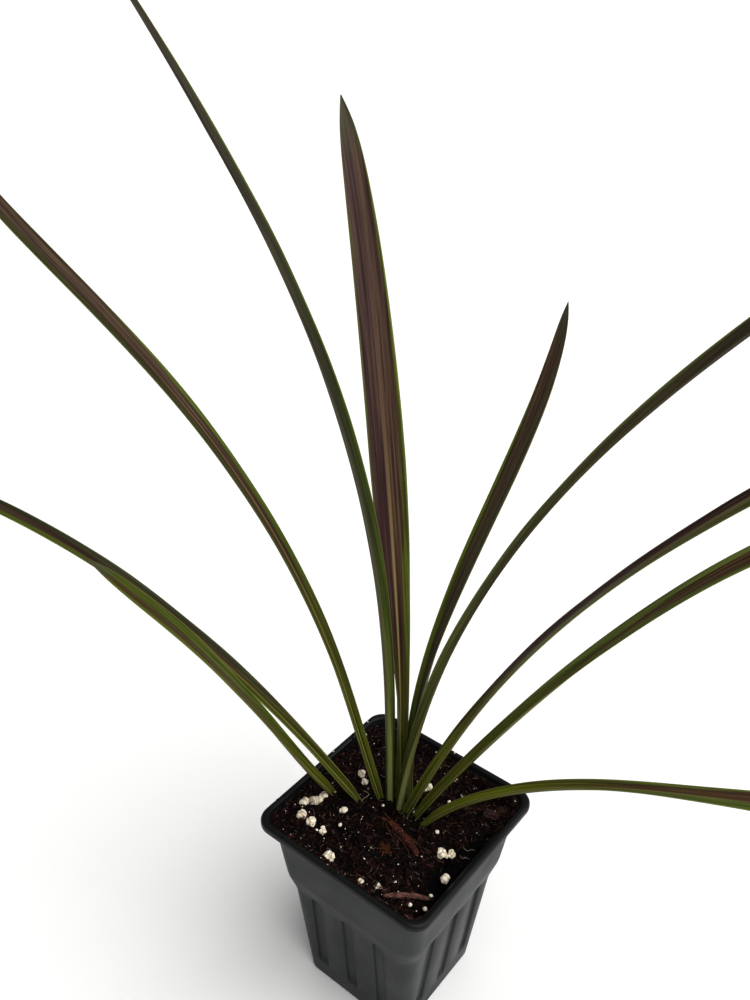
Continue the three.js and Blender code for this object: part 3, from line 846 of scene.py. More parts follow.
@dataclass
class NurseryPot:
    """Thin square pot with a rolled rim, a band, a sloping shoulder and three flutes on each side."""

    height: float = 105.0
    wall: float = 1.2
    floor: float = 1.6
    rim_half: float = 44.5
    rim_inner_half: float = 41.7
    rim_depth: float = 4.0
    under_rim_half: float = 40.4
    band_foot: Pair = (37.0, 70.0)
    shoulder_foot: Pair = (34.2, 60.0)
    base_half: float = 28.3
    foot_radius: float = 1.4
    rim_corner: float = 8.0
    body_corner: float = 8.5
    base_corner: float = 5.5
    flute_places: Point = (-17.5, 0.0, 17.5)
    flute_width: float = 4.8
    flute_depth: float = 1.3
    flute_slope: float = 0.7
    flute_bottom: float = 11.0
    flute_run_out: float = 2.6
    drain_radius: float = 3.6
    drain_out: float = 17.0
    level_step: float = 1.5
    corner_steps: int = 12

    def body_half(self, z: float) -> float:
        """Half width of the outer wall.

        Args:
            z: height.

        Returns:
            The half width there.
        """
        steps = [(self.base_half, 0.0), self.shoulder_foot, self.band_foot]
        steps.append((self.under_rim_half, self.height - self.rim_depth))
        return float(np.interp(z, [s[1] for s in steps], [s[0] for s in steps]))

    def corner_at(self, z: float) -> float:
        """Corner radius of the outer wall at a height."""
        return lerp(self.base_corner, self.body_corner, min(z / self.band_foot[1], 1.0))

    def flute_at(self, z: float) -> float:
        """Depth of the flutes, which run out at both ends.

        Args:
            z: height.

        Returns:
            The depth there.
        """
        top = self.shoulder_foot[1] + self.flute_run_out
        above_foot = ease((z - self.flute_bottom) / self.flute_run_out)
        return self.flute_depth * above_foot * ease((top - z) / self.flute_run_out)

    def ring(self, half: float, z: float, corner: float, inset: float = 0.0) -> list[Point]:
        """One level of the pot as a closed ring.

        Args:
            half: half width of the square.
            z: height.
            corner: radius of its corners.
            inset: how far inside the outer face it lies, which widens its flutes.

        Returns:
            The ring's points, the same number at every level.
        """
        depth = self.flute_at(z) if half > self.base_half / 2 else 0.0
        flat = self.flute_width / 2 + inset
        slope_steps = 4
        side = []
        for place in self.flute_places:
            for sign in (-1, 1):
                for step in range(slope_steps + 1):
                    part = step / slope_steps if sign < 0 else 1 - step / slope_steps
                    side.append((place + sign * (flat + self.flute_slope * (1 - part)), depth * ease(part)))
        squeeze = min(1.0, (half - corner) / (side[-1][0] + 0.01))
        quarter = [(half - inward, along * squeeze) for along, inward in side]
        for step in range(self.corner_steps + 1):
            angle = math.radians(90 * step / self.corner_steps)
            out, along = corner * math.cos(angle), corner * math.sin(angle)
            quarter.append((half - corner + out, half - corner + along))
        ring = []
        for turn in range(4):
            c, s = math.cos(math.radians(90 * turn)), math.sin(math.radians(90 * turn))
            ring += [(x * c - y * s, x * s + y * c, z) for x, y in quarter]
        return ring

    def profile(self) -> list[Level]:
        """The wall's profile.

        Returns:
            Its corners, up the outside from the middle of the underside and down inside.
        """
        under = self.height - self.rim_depth
        band_half, band_z = self.band_foot
        shoulder_half, shoulder_z = self.shoulder_foot
        inner = self.body_corner - self.wall
        core = self.base_half * 0.35
        floor_half = self.body_half(self.floor) - self.wall
        shoulder_corner = self.corner_at(shoulder_z)
        return [
            Level(core, 0.0, self.base_corner * 0.35, 0.0),
            Level(self.base_half, 0.0, self.base_corner, self.foot_radius),
            Level(shoulder_half, shoulder_z, shoulder_corner, 2.2),
            Level(band_half, band_z, self.body_corner, 2.2),
            Level(self.under_rim_half, under, self.body_corner, 0.7),
            Level(self.rim_half, under - 0.2, self.rim_corner, 1.3),
            Level(self.rim_half, self.height, self.rim_corner, 1.6),
            Level(self.rim_inner_half, self.height, inner, 1.2),
            Level(self.rim_inner_half - 0.4, under + 1.5, inner, 0.8, self.wall),
            Level(self.under_rim_half - self.wall, under - 0.4, inner, 0.9, self.wall),
            Level(band_half - self.wall, band_z, inner, 2.0, self.wall),
            Level(shoulder_half - self.wall, shoulder_z, shoulder_corner - self.wall, 2.0, self.wall),
            Level(floor_half, self.floor, self.base_corner - self.wall, 1.2, self.wall),
            Level(core, self.floor, self.base_corner * 0.35, 0.0, self.wall),
        ]

    def softened(self) -> list[tuple[float, ...]]:
        """The profile with its bends rounded and its long stretches divided.

        Returns:
            The half width, height, corner radius and inset of each level.
        """
        levels = self.profile()
        corners = [np.array((level.half, level.z, level.corner, level.inset)) for level in levels]
        bend_steps = 5
        path = [corners[0]]
        for before, here, after, level in zip(corners, corners[1:], corners[2:], levels[1:]):
            ends = []
            for other in (before, after):
                distance = np.linalg.norm(other[:2] - here[:2])
                ends.append(here + (other - here) * min(level.soften / distance, 0.48))
            for step in range(bend_steps + 1):
                t = step / bend_steps
                path.append(ends[0] * (1 - t) ** 2 + here * 2 * t * (1 - t) + ends[1] * t * t)
        path.append(corners[-1])
        fine = [path[0]]
        for a, b in zip(path, path[1:]):
            pieces = max(1, math.ceil(np.linalg.norm(b[:2] - a[:2]) / self.level_step))
            fine += [a + (b - a) * (k + 1) / pieces for k in range(pieces)]
        return [tuple(float(v) for v in point) for point in fine]

    def build(self, finish: Finish) -> None:
        """Builds the pot and drills its drain holes.

        Args:
            finish: the plastic.
        """
        pot = tube_piece("nursery_pot", [self.ring(*level) for level in self.softened()], finish)
        shape = bmesh.new()
        for x in (-1, 1):
            for y in (-1, 1):
                place = Vector((x * self.drain_out, y * self.drain_out, self.floor / 2)) * MM
                radius = self.drain_radius * MM
                bmesh.ops.create_cone(
                    shape, cap_ends=True, segments=40, radius1=radius, radius2=radius,
                    depth=self.floor * 4 * MM, matrix=Matrix.Translation(place))
        drill = bmesh_piece("drain_drill", shape, finish)
        cut = pot.modifiers.new("drain_holes", "BOOLEAN")
        cut.operation = "DIFFERENCE"
        cut.solver = "EXACT"
        cut.object = drill
        baked(pot)
        bpy.data.objects.remove(drill)
        settle(pot, "pot_plastic", "pot")


# The soil and what lies in it


@dataclass(frozen=True)
class BarkPiece:
    """A piece of bark that follows the soil: its ends in plan, half width, half height and sideways bow.

    lift is how far its middle lies over the soil, and packed tells that a solid of that name stands for it.
    """

    name: str
    start: Pair
    end: Pair
    half: Pair
    bow: float
    lift: float
    packed: bool = True


@dataclass(frozen=True)
class Strand:
    """A single rootlet: its ends in plan, sideways bow, rise of its middle over the soil and thickness."""

    start: Pair
    end: Pair
    bow: float
    rise: float
    radius: float


BARK_PIECES = (
    BarkPiece("bark_strip", (-4.4, -5.1), (20.0, -11.1), (1.7, 1.0), 1.6, 0.4),
    BarkPiece("bark_stick", (20.0, -35.2), (35.8, -24.5), (1.2, 1.0), 0.5, 0.8),
    BarkPiece("bark_chip", (28.5, 25.4), (35.0, 29.3), (2.6, 1.7), 0.4, 0.5),
    BarkPiece("bark_splinter_1", (-5.5, -3.4), (7.0, -6.0), (0.3, 0.3), 0.8, 0.9, False),
    BarkPiece("bark_splinter_2", (3.0, -8.6), (17.5, -13.4), (0.3, 0.3), 0.9, 0.9, False),
    BarkPiece("bark_splinter_3", (9.0, -5.6), (21.5, -9.0), (0.25, 0.25), 0.9, 0.9, False),
    BarkPiece("bark_splinter_4", (-1.0, -7.2), (10.0, -11.6), (0.25, 0.25), -0.6, 0.8, False),
)

ROOTLETS = (
    Strand((-16.6, -4.6), (-19.6, 0.6), -2.6, 1.4, 0.18),
    Strand((31.8, 5.2), (36.6, 7.4), -1.2, 1.0, 0.12),
    Strand((32.6, 1.6), (37.0, 3.2), -1.3, 0.9, 0.1),
)

# Places in plan of the small white specks that stand out in the soil and on the lip.
SOIL_SPECKS = (
    (-19.8, -26.8), (-21.1, -29.3), (-15.1, -20.9), (5.2, 5.9), (18.9, 4.3), (27.2, -4.5), (28.6, -2.1),
    (35.0, -22.6), (31.2, -31.8), (36.7, -29.1), (-7.1, -0.7), (8.0, 33.9), (13.3, 21.4), (16.2, 27.6),
    (-2.4, 38.1),
)
LIP_SPECKS = ((-43.1, 33.0), (-43.0, 25.0), (-43.2, 7.6), (1.0, 43.1))


def course(start: Pair, end: Pair) -> tuple[np.ndarray, np.ndarray, np.ndarray]:
    """The line in plan that a piece on the soil follows.

    Args:
        start: where it starts.
        end: where it ends.

    Returns:
        The start, the way from there to the end, and the direction to its side.
    """
    first = np.array(start)
    along = np.array(end) - first
    return first, along, np.array((-along[1], along[0])) / np.linalg.norm(along)


@dataclass(frozen=True)
class PerliteGrain:
    """A grain of expanded glass: swollen cells that have grown together, with some facets.

    Reaches are shares of the ball that a grain starts from, and swell is its size as a share of the box
    of the solid that it stands for.
    """

    cells: int = 5
    facets: int = 9
    cell_out: Pair = (0.25, 0.6)
    cell_radius: Pair = (0.4, 0.66)
    facet_out: Pair = (0.55, 0.8)
    crease_width: float = 0.16
    swell: float = 1.15

    def build(self, node: str, low: Vector, high: Vector, skin: Tree, seed: int, finish: Finish) -> None:
        """Makes one perlite grain: a few swollen cells that have grown together.

        Args:
            node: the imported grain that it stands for.
            low: the lower corner of that grain's box, in millimetres.
            high: the upper corner.
            skin: the tree that pits its surface.
            seed: what makes it differ from the others.
            finish: the perlite.
        """
        draw = random.Random(seed)
        count = self.cells + self.facets
        headings = [Vector([draw.gauss(0, 1) for _ in range(3)]).normalized() for _ in range(count)]
        cells = [
            (heading * draw.uniform(*self.cell_out), draw.uniform(*self.cell_radius))
            for heading in headings[: self.cells]
        ]
        facets = [(heading, draw.uniform(*self.facet_out)) for heading in headings[self.cells :]]
        ball = bmesh.new()
        bmesh.ops.create_icosphere(ball, subdivisions=5, radius=1.0)
        creases = []
        for vertex in ball.verts:
            heading = vertex.co.normalized()
            reaches = [0.3, 0.5]
            for centre, radius in cells:
                along = centre.dot(heading)
                inside = radius**2 - centre.length_squared + along**2
                if inside > 0:
                    reaches.append(along + math.sqrt(inside))
            next_out, furthest = sorted(reaches)[-2:]
            creases.append(1 - ease((furthest - next_out) / self.crease_width))
            facing = [(distance, heading.dot(normal)) for normal, distance in facets]
            cuts = [distance / share for distance, share in facing if share > 0.1]
            vertex.co = heading * min([furthest, *cuts])
        low_corner, high_corner = (
            Vector(pick(v.co[axis] for v in ball.verts) for axis in range(3)) for pick in (min, max))
        for vertex in ball.verts:
            place = []
            for a in range(3):
                share = (vertex.co[a] - low_corner[a]) / (high_corner[a] - low_corner[a])
                place.append(lerp(low[a], high[a], 0.5 + self.swell * (share - 0.5)))
            vertex.co = Vector(place) * MM
        piece = bmesh_piece(node + "_grain", ball, finish)
        store(piece, "crease", creases)
        values = {"Coarse Size": 1.1 * MM, "Coarse Height": 0.55 * MM, "Fine Size": 0.3 * MM,
                  "Fine Height": 0.14 * MM, "Seed": float(seed), "Finish": finish}
        settle(grow(piece, skin, values), "perlite", node)


@dataclass
class Soil:
    """Peat and bark mix that fills the pot, a little higher at its -X side, with bark and perlite in it."""

    pot: NurseryPot
    level: float = 99.5
    fall: float = 2.5
    mound: float = 0.8
    mound_radius: float = 20.0
    lump: float = 0.7
    lump_pitch: float = 13.0
    seed: int = 7
    clearance: float = 0.3
    wall_heights: tuple[float, ...] = (10.6, 12.0, 13.4, 25.0, 40.0, 59.8, 61.4, 62.9, 70.0, 82.0)
    rings: int = 84
    wall_rings: int = 4
    clod_size: float = 6.5
    clod_height: float = 1.9
    pit_size: float = 2.6
    pit_height: float = 2.6
    dip: float = 9.0
    dip_place: Pair = (38.5, -10.0)
    dip_reach: Pair = (7.5, 14.0)
    trench: float = 0.45
    trench_ends: Pair = (-36.0, 18.0)
    trench_fade: float = 6.0
    trench_reach: float = 3.5
    litter_fade: float = 4.0
    least_litter: float = 0.3
    bank_half: float = 41.1
    bank_top: float = 102.4
    bank_fade: float = 2.2

    def __post_init__(self) -> None:
        """Draws the long waves of the surface in the order that the solids draw them."""
        factor, step, modulus = 1664525, 1013904223, 2**32
        wave_count = 6
        state = self.seed
        draws = []
        for _ in range(3 * wave_count):
            state = (state * factor + step) % modulus
            draws.append(state / modulus)
        self.waves = []
        for heading, pitch, phase in zip(draws[0::3], draws[1::3], draws[2::3]):
            length = self.lump_pitch * (0.7 + 0.8 * pitch)
            angle = heading * math.tau
            self.waves.append((math.cos(angle) / length, math.sin(angle) / length, phase * math.tau))

    def height(self, x: float, y: float) -> float:
        """Height of the solid's surface.

        Args:
            x: place in plan.
            y: place in plan.

        Returns:
            The height there.
        """
        slope = -self.fall * x / self.pot.under_rim_half
        mound = self.mound * math.exp(-(x * x + y * y) / self.mound_radius**2)
        rough = sum(math.sin(math.tau * (wx * x + wy * y) + phase) for wx, wy, phase in self.waves)
        return self.level + slope + mound + self.lump * rough / math.sqrt(len(self.waves))

    def crumbly(self, x: float, y: float) -> float:
        """Height of the finished surface at a place in plan, with its clods and the dip at the +X wall."""
        lowered = self.height(x, y) - self.dip * self.hollow(x, y)
        return lowered + self.clod_height * self.clods(x, y) + self.pit_height * self.pits(x, y)

    def hollow(self, x: float, y: float) -> float:
        """How far a place lies in the dip and the trench at the +X wall.

        Args:
            x: place in plan.
            y: place in plan.

        Returns:
            A share from 0 to 1.
        """
        away = math.hypot(*((a - b) / c for a, b, c in zip((x, y), self.dip_place, self.dip_reach)))
        low, high = self.trench_ends
        along = ease((high - y) / self.trench_fade) * ease((y - low) / self.trench_fade)
        beside = (x - self.dip_place[0]) / self.trench_reach
        return max(math.exp(-away * away), self.trench * along * math.exp(-min(beside, 0.0) ** 2))

    def strewn(self, x: float, y: float) -> float:
        """How much litter lies at a place in plan, from 0 in the dip to 1 on a lump."""
        lumpy = ease(0.6 + 1.5 * self.clods(x, y))
        return max(0.0, 1 - self.litter_fade * self.hollow(x, y)) * lerp(self.least_litter, 1.0, lumpy)

    def clods(self, x: float, y: float) -> float:
        """The broad lumps of the surface at a place in plan, about 0 on average."""
        return noise.fractal(Vector((x, y, 0.0)) / self.clod_size, 1.0, 2.2, 3)

    def pits(self, x: float, y: float) -> float:
        """The sharp pits of the surface at a place in plan, about 0 on average and below 0 in a pit."""
        return noise.turbulence(Vector((x, y, 9.0)) / self.pit_size, 3, True) - 0.6

    def outline(self, z: float) -> list[Point]:
        """The soil's edge against the wall at a height."""
        inset = self.pot.wall + self.clearance
        return self.pot.ring(self.pot.body_half(z) - inset, z, self.pot.corner_at(z) - self.pot.wall, inset)

    def build(self, finish: Finish) -> Piece:
        """Builds the body of soil and the bank inside the lip.

        Args:
            finish: the soil's finish.

        Returns:
            Its open upper surface, for what is strewn on it.
        """
        bottom = self.pot.floor + self.clearance
        heights = [bottom, *self.wall_heights, self.level - 8.0]
        walls = [self.outline(z) for z in heights]
        rim = self.outline(self.level)
        surface = []
        for ring in range(self.rings):
            scale = 1 - ring / self.rings
            drop = 1 - ease((1 - scale) / 0.03)
            places = [(x * scale, y * scale) for x, y, _ in rim]
            surface.append([(x, y, self.crumbly(x, y) - drop) for x, y in places])
        count = len(rim)
        points = [point for ring in walls + surface for point in ring] + [(0.0, 0.0, self.crumbly(0.0, 0.0))]
        last = len(points) - 1
        faces = ring_faces(len(walls) + len(surface), count) + [tuple(reversed(range(count)))]
        faces += [(last - count + i, last - count + (i + 1) % count, last) for i in range(count)]
        body = mesh_piece("potting_soil", points, faces, finish)
        # Painted shade: the crease attribute darkens the peat in its pits, between its clods and in the dip
        # at the +X wall.
        pit_shade = [
            max(ease(0.5 - 1.8 * self.pits(x, y) - 0.8 * self.clods(x, y)), ease(3 * self.hollow(x, y)))
            for x, y, _ in points
        ]
        store(body, "crease", pit_shade)
        settle(body, "potting_soil", "soil")
        bank = self.bank(surface[self.wall_rings])
        settle(tube_piece("soil_bank", bank, finish, loop=True), "potting_soil")
        open_rings = [*bank[:2], *surface[self.wall_rings :]]
        bare = [point for ring in open_rings for point in ring]
        top = mesh_piece("soil_top", bare, ring_faces(len(open_rings), count), finish)
        store(top, "cover", [self.strewn(x, y) for x, y, _ in bare])
        return top

    def bank(self, inner: Sequence[Point]) -> list[list[Point]]:
        """Soil banked up over the ledge inside the lip, which thins out at the dip.

        Args:
            inner: the ring of the surface that it leans on.

        Returns:
            Its rings: outer edge, crest, inner foot and underside.
        """
        outline = self.pot.ring(self.bank_half, self.bank_top, self.pot.rim_corner - 2.4)
        outer, crest, foot, under = [], [], [], []
        for (x, y, _), (ix, iy, iz) in zip(outline, inner):
            held = max(0.0, 1 - self.bank_fade * self.hollow(x, y))
            ragged = 0.5 * noise.noise(Vector((x, y, 3.0)) / 2.2)
            top = lerp(iz, self.bank_top + ragged, held)
            outer.append((lerp(ix, x, held), lerp(iy, y, held), top - 0.1))
            crest.append((lerp(ix, x, 0.6 * held), lerp(iy, y, 0.6 * held), lerp(iz, top, 0.8) + 0.05))
            foot.append((ix, iy, iz + 0.05))
            under.append((ix, iy, iz - 0.4))
        return [outer, crest, foot, under]

    def bark(self, shape: BarkPiece, skin: Tree, finish: Finish) -> None:
        """Makes one grooved piece of bark with ragged ends.

        Args:
            shape: where it lies and how large it is.
            skin: the tree that roughens it.
            finish: its finish.
        """
        steps, sides, grooves = 48, 28, 7
        fold_shadow_strength, raggedness, end_run = 0.13, 0.22, 0.06
        start, along, aside = course(shape.start, shape.end)
        rings = []
        for i in range(steps + 1):
            t = i / steps
            arch = math.sin(t * math.pi)
            x, y = start + along * t + aside * shape.bow * arch
            full = (0.6 + 0.4 * arch) * (0.3 + 0.7 * ease(min(t, 1 - t) / end_run))
            middle = self.height(x, y) + shape.lift
            ring = []
            for angle in around(sides):
                groove = 1 + fold_shadow_strength * math.sin(grooves * angle + 1.6 * math.sin(5 * t))
                ragged = 1 + raggedness * noise.noise(Vector((x, y, 4 * angle)) * 0.7)
                out = shape.half[0] * full * groove * ragged * math.cos(angle)
                up = shape.half[1] * full * groove * ragged * math.sin(angle)
                ring.append((x + aside[0] * out, y + aside[1] * out, middle + up))
            rings.append(ring)
        piece = tube_piece(shape.name + "_piece", rings, finish)
        rough = min(shape.half[0], 1.0)
        values = {"Coarse Size": 2.0 * MM, "Coarse Height": 0.7 * rough * MM, "Fine Size": 0.5 * MM,
                  "Fine Height": 0.3 * rough * MM, "Seed": float(len(shape.name)), "Finish": finish}
        settle(grow(piece, skin, values), "bark", *([shape.name] if shape.packed else []))

    def strands(self, shapes: Sequence[Strand], finish: Finish) -> None:
        """Makes the single rootlets that lie on the soil, each rising a little in its middle.

        Args:
            shapes: where each lies and how large it is.
            finish: their finish.
        """
        steps, sides = 24, 6
        for number, shape in enumerate(shapes):
            start, along, aside = course(shape.start, shape.end)
            line = []
            for i in range(steps + 1):
                t = i / steps
                arch = math.sin(t * math.pi)
                x, y = start + along * t + aside * (shape.bow * arch + 0.4 * math.sin(t * 9 + number))
                line.append(Vector((x, y, self.height(x, y) + 0.4 + shape.rise * arch)))
            rings = []
            for i, place in enumerate(line):
                run = (line[min(i + 1, steps)] - line[max(i - 1, 0)]).normalized()
                side = run.cross(Vector((0.0, 0.0, 1.0))).normalized()
                up = side.cross(run)
                radius = shape.radius * (0.4 + 0.6 * math.sin(math.pi * (0.1 + 0.8 * i / steps)))
                ring = [place + (side * math.cos(a) - up * math.sin(a)) * radius for a in around(sides)]
                rings.append([tuple(point) for point in ring])
            settle(tube_piece(f"rootlet_{number + 1}", rings, finish), "bark")


@dataclass
class GroundLitter:
    """What lies strewn over the soil: clods, fine crumbs, bark slivers, fibres and small perlite."""

    soil: Soil
    top: Piece
    strew: Tree
    lay: Tree

    def lump(self, name: str, shape: Point, cells: int, finish: Finish, smooth: bool = False) -> Piece:
        """Makes one uneven lump, a metre long before it is scaled, that the tree strews.

        Args:
            name: its name.
            shape: its length, width and height as shares of a metre.
            cells: how often the ball that it starts from is divided.
            finish: its finish.
            smooth: whether it is shaded smooth.

        Returns:
            The lump, which is removed once the trees have used it.
        """
        ball = bmesh.new()
        bmesh.ops.create_icosphere(ball, subdivisions=cells, radius=0.5)
        for vertex in ball.verts:
            swell = 1 + 0.45 * noise.noise(vertex.co * 5.1 + Vector((len(name), 0, 0)))
            vertex.co = Vector(a * b for a, b in zip(vertex.co * swell, shape))
        return bmesh_piece(name, ball, finish, smooth)

    def copy_of_top(self, name: str, sink: float) -> Piece:
        """Makes a copy of the soil's upper surface for a tree to start from.

        Args:
            name: its name.
            sink: how far it is sunk, in millimetres.

        Returns:
            The copy.
        """
        copy = add_object(name, self.top.data.copy())
        copy.data.transform(Matrix.Translation((0.0, 0.0, -sink * MM)))
        return copy

    def bits(self, base: Piece, lump: Piece, density: float, sizes: Pair, laying: Laying, seed: int,
             slot: str) -> None:
        """Strews one kind of bit.

        Args:
            base: the surface that they lie on, which becomes the bits.
            lump: the shape that is strewn, in its finish.
            density: how many lie on a square centimetre.
            sizes: the smallest and the largest, in millimetres.
            laying: how they lie.
            seed: the seed of their places.
            slot: the material slot.
        """
        values = {"Lump": lump, "Density": density * PER_SQUARE_CM,
                  "Smallest": sizes[0] * MM, "Largest": sizes[1] * MM,
                  "Tilt": laying.value, "Seed": seed, "Finish": lump.data.materials[0]}
        settle(grow(base, self.strew, values), slot)

    def fibres(self, base: Piece, density: float, lengths: Pair, radius: float, tilt: float, seed: int,
               finish: Finish) -> None:
        """Lays one kind of fibre.

        Args:
            base: the piece that the fibres grow on, which becomes the fibres.
            density: how many lie on a square centimetre.
            lengths: the shortest and the longest, in millimetres.
            radius: their radius, in millimetres.
            tilt: how far they rise from the soil, in radians.
            seed: the seed of their places.
            finish: their finish.
        """
        values = {"Density": density * PER_SQUARE_CM, "Shortest": lengths[0] * MM, "Longest": lengths[1] * MM,
                  "Radius": radius * MM, "Bend": 2.6 * MM, "Bend Size": repeats(3.5), "Tilt": tilt,
                  "Seed": seed, "Finish": finish}
        settle(grow(base, self.lay, values), "bark")

    def patch(self, name: str, middle: Pair, radius: float, finish: Finish) -> Piece:
        """Makes a small disc on the soil for a tuft of fibres to grow on.

        Args:
            name: its name.
            middle: its middle in plan.
            radius: its radius, in millimetres.
            finish: the fibres' finish.

        Returns:
            The disc.
        """
        sides = 16
        x, y = middle
        spots = [(x + radius * math.cos(a), y + radius * math.sin(a)) for a in around(sides)]
        points = [(px, py, self.soil.height(px, py) + 0.6) for px, py in spots]
        disc = mesh_piece(name, points, [tuple(range(sides))], finish)
        store(disc, "cover", [1.0] * sides)
        return disc

    def crumbs(self, name: str, places: Sequence[Point], sizes: Pair, finish: Finish, slot: str) -> None:
        """Sets a small uneven crumb at each of these places.

        Args:
            name: the piece's name.
            places: the middle of each crumb.
            sizes: the smallest and the largest radius, in millimetres.
            finish: their finish.
            slot: the material slot.
        """
        draw = random.Random(len(places))
        shape = bmesh.new()
        for place in places:
            middle = Vector(place)
            made = bmesh.ops.create_icosphere(
                shape, subdivisions=2, radius=draw.uniform(*sizes), matrix=Matrix.Translation(middle))
            for vertex in made["verts"]:
                swell = 1 + 0.5 * noise.noise(vertex.co * 1.7)
                vertex.co = (middle + (vertex.co - middle) * swell) * MM
        settle(bmesh_piece(name, shape, finish), slot)

    def lip_places(self, count: int) -> list[Point]:
        """Places on the pot's lip, mostly at its -X side, where soil was spilt as it was filled.

        Args:
            count: how many there are.

        Returns:
            The places.
        """
        draw = random.Random(12)
        pot = self.soil.pot
        middle_of_lip = (pot.rim_half + pot.rim_inner_half) / 2
        places = []
        for _ in range(count):
            along = draw.uniform(-34, 34)
            out = middle_of_lip + draw.uniform(-1.2, 0.9)
            side = draw.choice([(-out, along), (-out, along), (along, out), (along, -out), (out, along)])
            places.append((*side, pot.height + 0.1))
        return places

    def build(self, peat: Finish, bark: Finish, coir: Finish, rust: Finish, rootlet: Finish,
              perlite: Finish) -> None:
        """Strews all of it.

        Args:
            peat: the soil's finish.
            bark: the slivers' finish.
            coir: the straw fibres' finish.
            rust: the finish of the dull fibres in the corner.
            rootlet: the pale fibres' finish.
            perlite: the small grains' finish.
        """
        clod = self.lump("clod", (1.0, 0.8, 0.6), 2, peat, smooth=True)
        crumb = self.lump("crumb", (1.0, 0.7, 0.55), 1, peat)
        chip = self.lump("chip", (1.0, 0.22, 0.12), 1, bark)
        fleck = self.lump("fleck", (1.0, 0.85, 0.75), 2, perlite)
        strewn = (
            ("soil_clods", 0.5, clod, 22, (1.2, 4.4), Laying.TUMBLED, "potting_soil"),
            ("soil_crumbs", 0.0, crumb, 60, (0.4, 1.4), Laying.TUMBLED, "potting_soil"),
            ("bark_slivers", -0.4, chip, 50, (1.0, 4.6), Laying.FLAT, "bark"),
            ("perlite_flecks", -0.5, fleck, 2.4, (0.3, 1.0), Laying.TUMBLED, "perlite"),
        )
        for seed, (name, sink, lump, density, sizes, laying, slot) in enumerate(strewn, start=3):
            self.bits(self.copy_of_top(name, sink), lump, density, sizes, laying, seed, slot)
        self.fibres(self.copy_of_top("soil_fibres", -0.5), 40, (1.5, 5.0), 0.07, 0.5, 7, bark)
        self.fibres(self.copy_of_top("coir_fibres", -0.6), 5, (1.5, 5.0), 0.06, 0.6, 8, coir)
        self.fibres(self.copy_of_top("pale_fibres", -0.7), 6, (0.7, 2.4), 0.06, 0.7, 9, rootlet)
        self.fibres(self.patch("coir_tuft", (6.9, -17.2), 1.9, coir), 520, (2.6, 5.6), 0.08, 1.4, 10, coir)
        self.fibres(self.patch("corner_tuft", (34.6, 33.6), 3.0, rust), 520, (1.6, 4.2), 0.09, 1.0, 11, rust)
        on_soil = [(x, y, self.soil.height(x, y) + 0.5) for x, y in SOIL_SPECKS]
        on_lip = [(x, y, self.soil.pot.height + 0.2) for x, y in LIP_SPECKS]
        self.crumbs("perlite_specks", on_soil, (0.55, 1.0), perlite, "perlite")
        self.crumbs("lip_specks", on_lip, (0.35, 0.6), perlite, "perlite")
        self.crumbs("lip_crumbs", self.lip_places(12), (0.25, 0.6), peat, "potting_soil")
        for used in (clod, crumb, chip, fleck, self.top):
            bpy.data.objects.remove(used)


# The leaves


@dataclass(frozen=True)
class Markings:
    """Colour pattern of a leaf.

    plus and minus give the width of the green margin on each side at the foot, a third, two thirds and the
    tip, as a share of the half width. centre_plus and centre_minus are the middle's colours on each side,
    near the foot and near the tip. flush is where the stalk's green turns to them. rib is how pale the
    midrib shows, and vein is the place across of one more pale vein, if there is one.
    """

    plus: tuple[float, float, float, float]
    minus: tuple[float, float, float, float]
    plus_tint: str
    minus_tint: str
    centre_plus: tuple[str, str]
    centre_minus: tuple[str, str]
    flush: float
    rib: float
    vein: float = 2.0


@dataclass(frozen=True)
class Leaf:
    """A strap leaf: where it stands, the way that it leans and rolls, its length and its widths.

    Angles are in degrees. lean and roll are control values from the foot to the tip.
    """

    node: str
    at: Pair
    azimuth: float
    drift: float
    lean: tuple[float, float, float, float]
    roll: Point
    length: float
    foot: float
    base: float
    wide: float
    widest: float
    markings: Markings


MOSS = "#525c20"
FRESH = "#58621e"
GREY = "#3c3f2a"
PLUM = "#3a1d20"
UMBER = "#42301a"
OLIVE = "#4a4722"
# The midrib's colour at places along a leaf: pale green, then tan, then pinkish brown.
RIB_HUES = ((0.05, "#a3a878"), (0.2, "#8f8358"), (0.4, "#8a7a55"), (0.65, "#735a4c"))

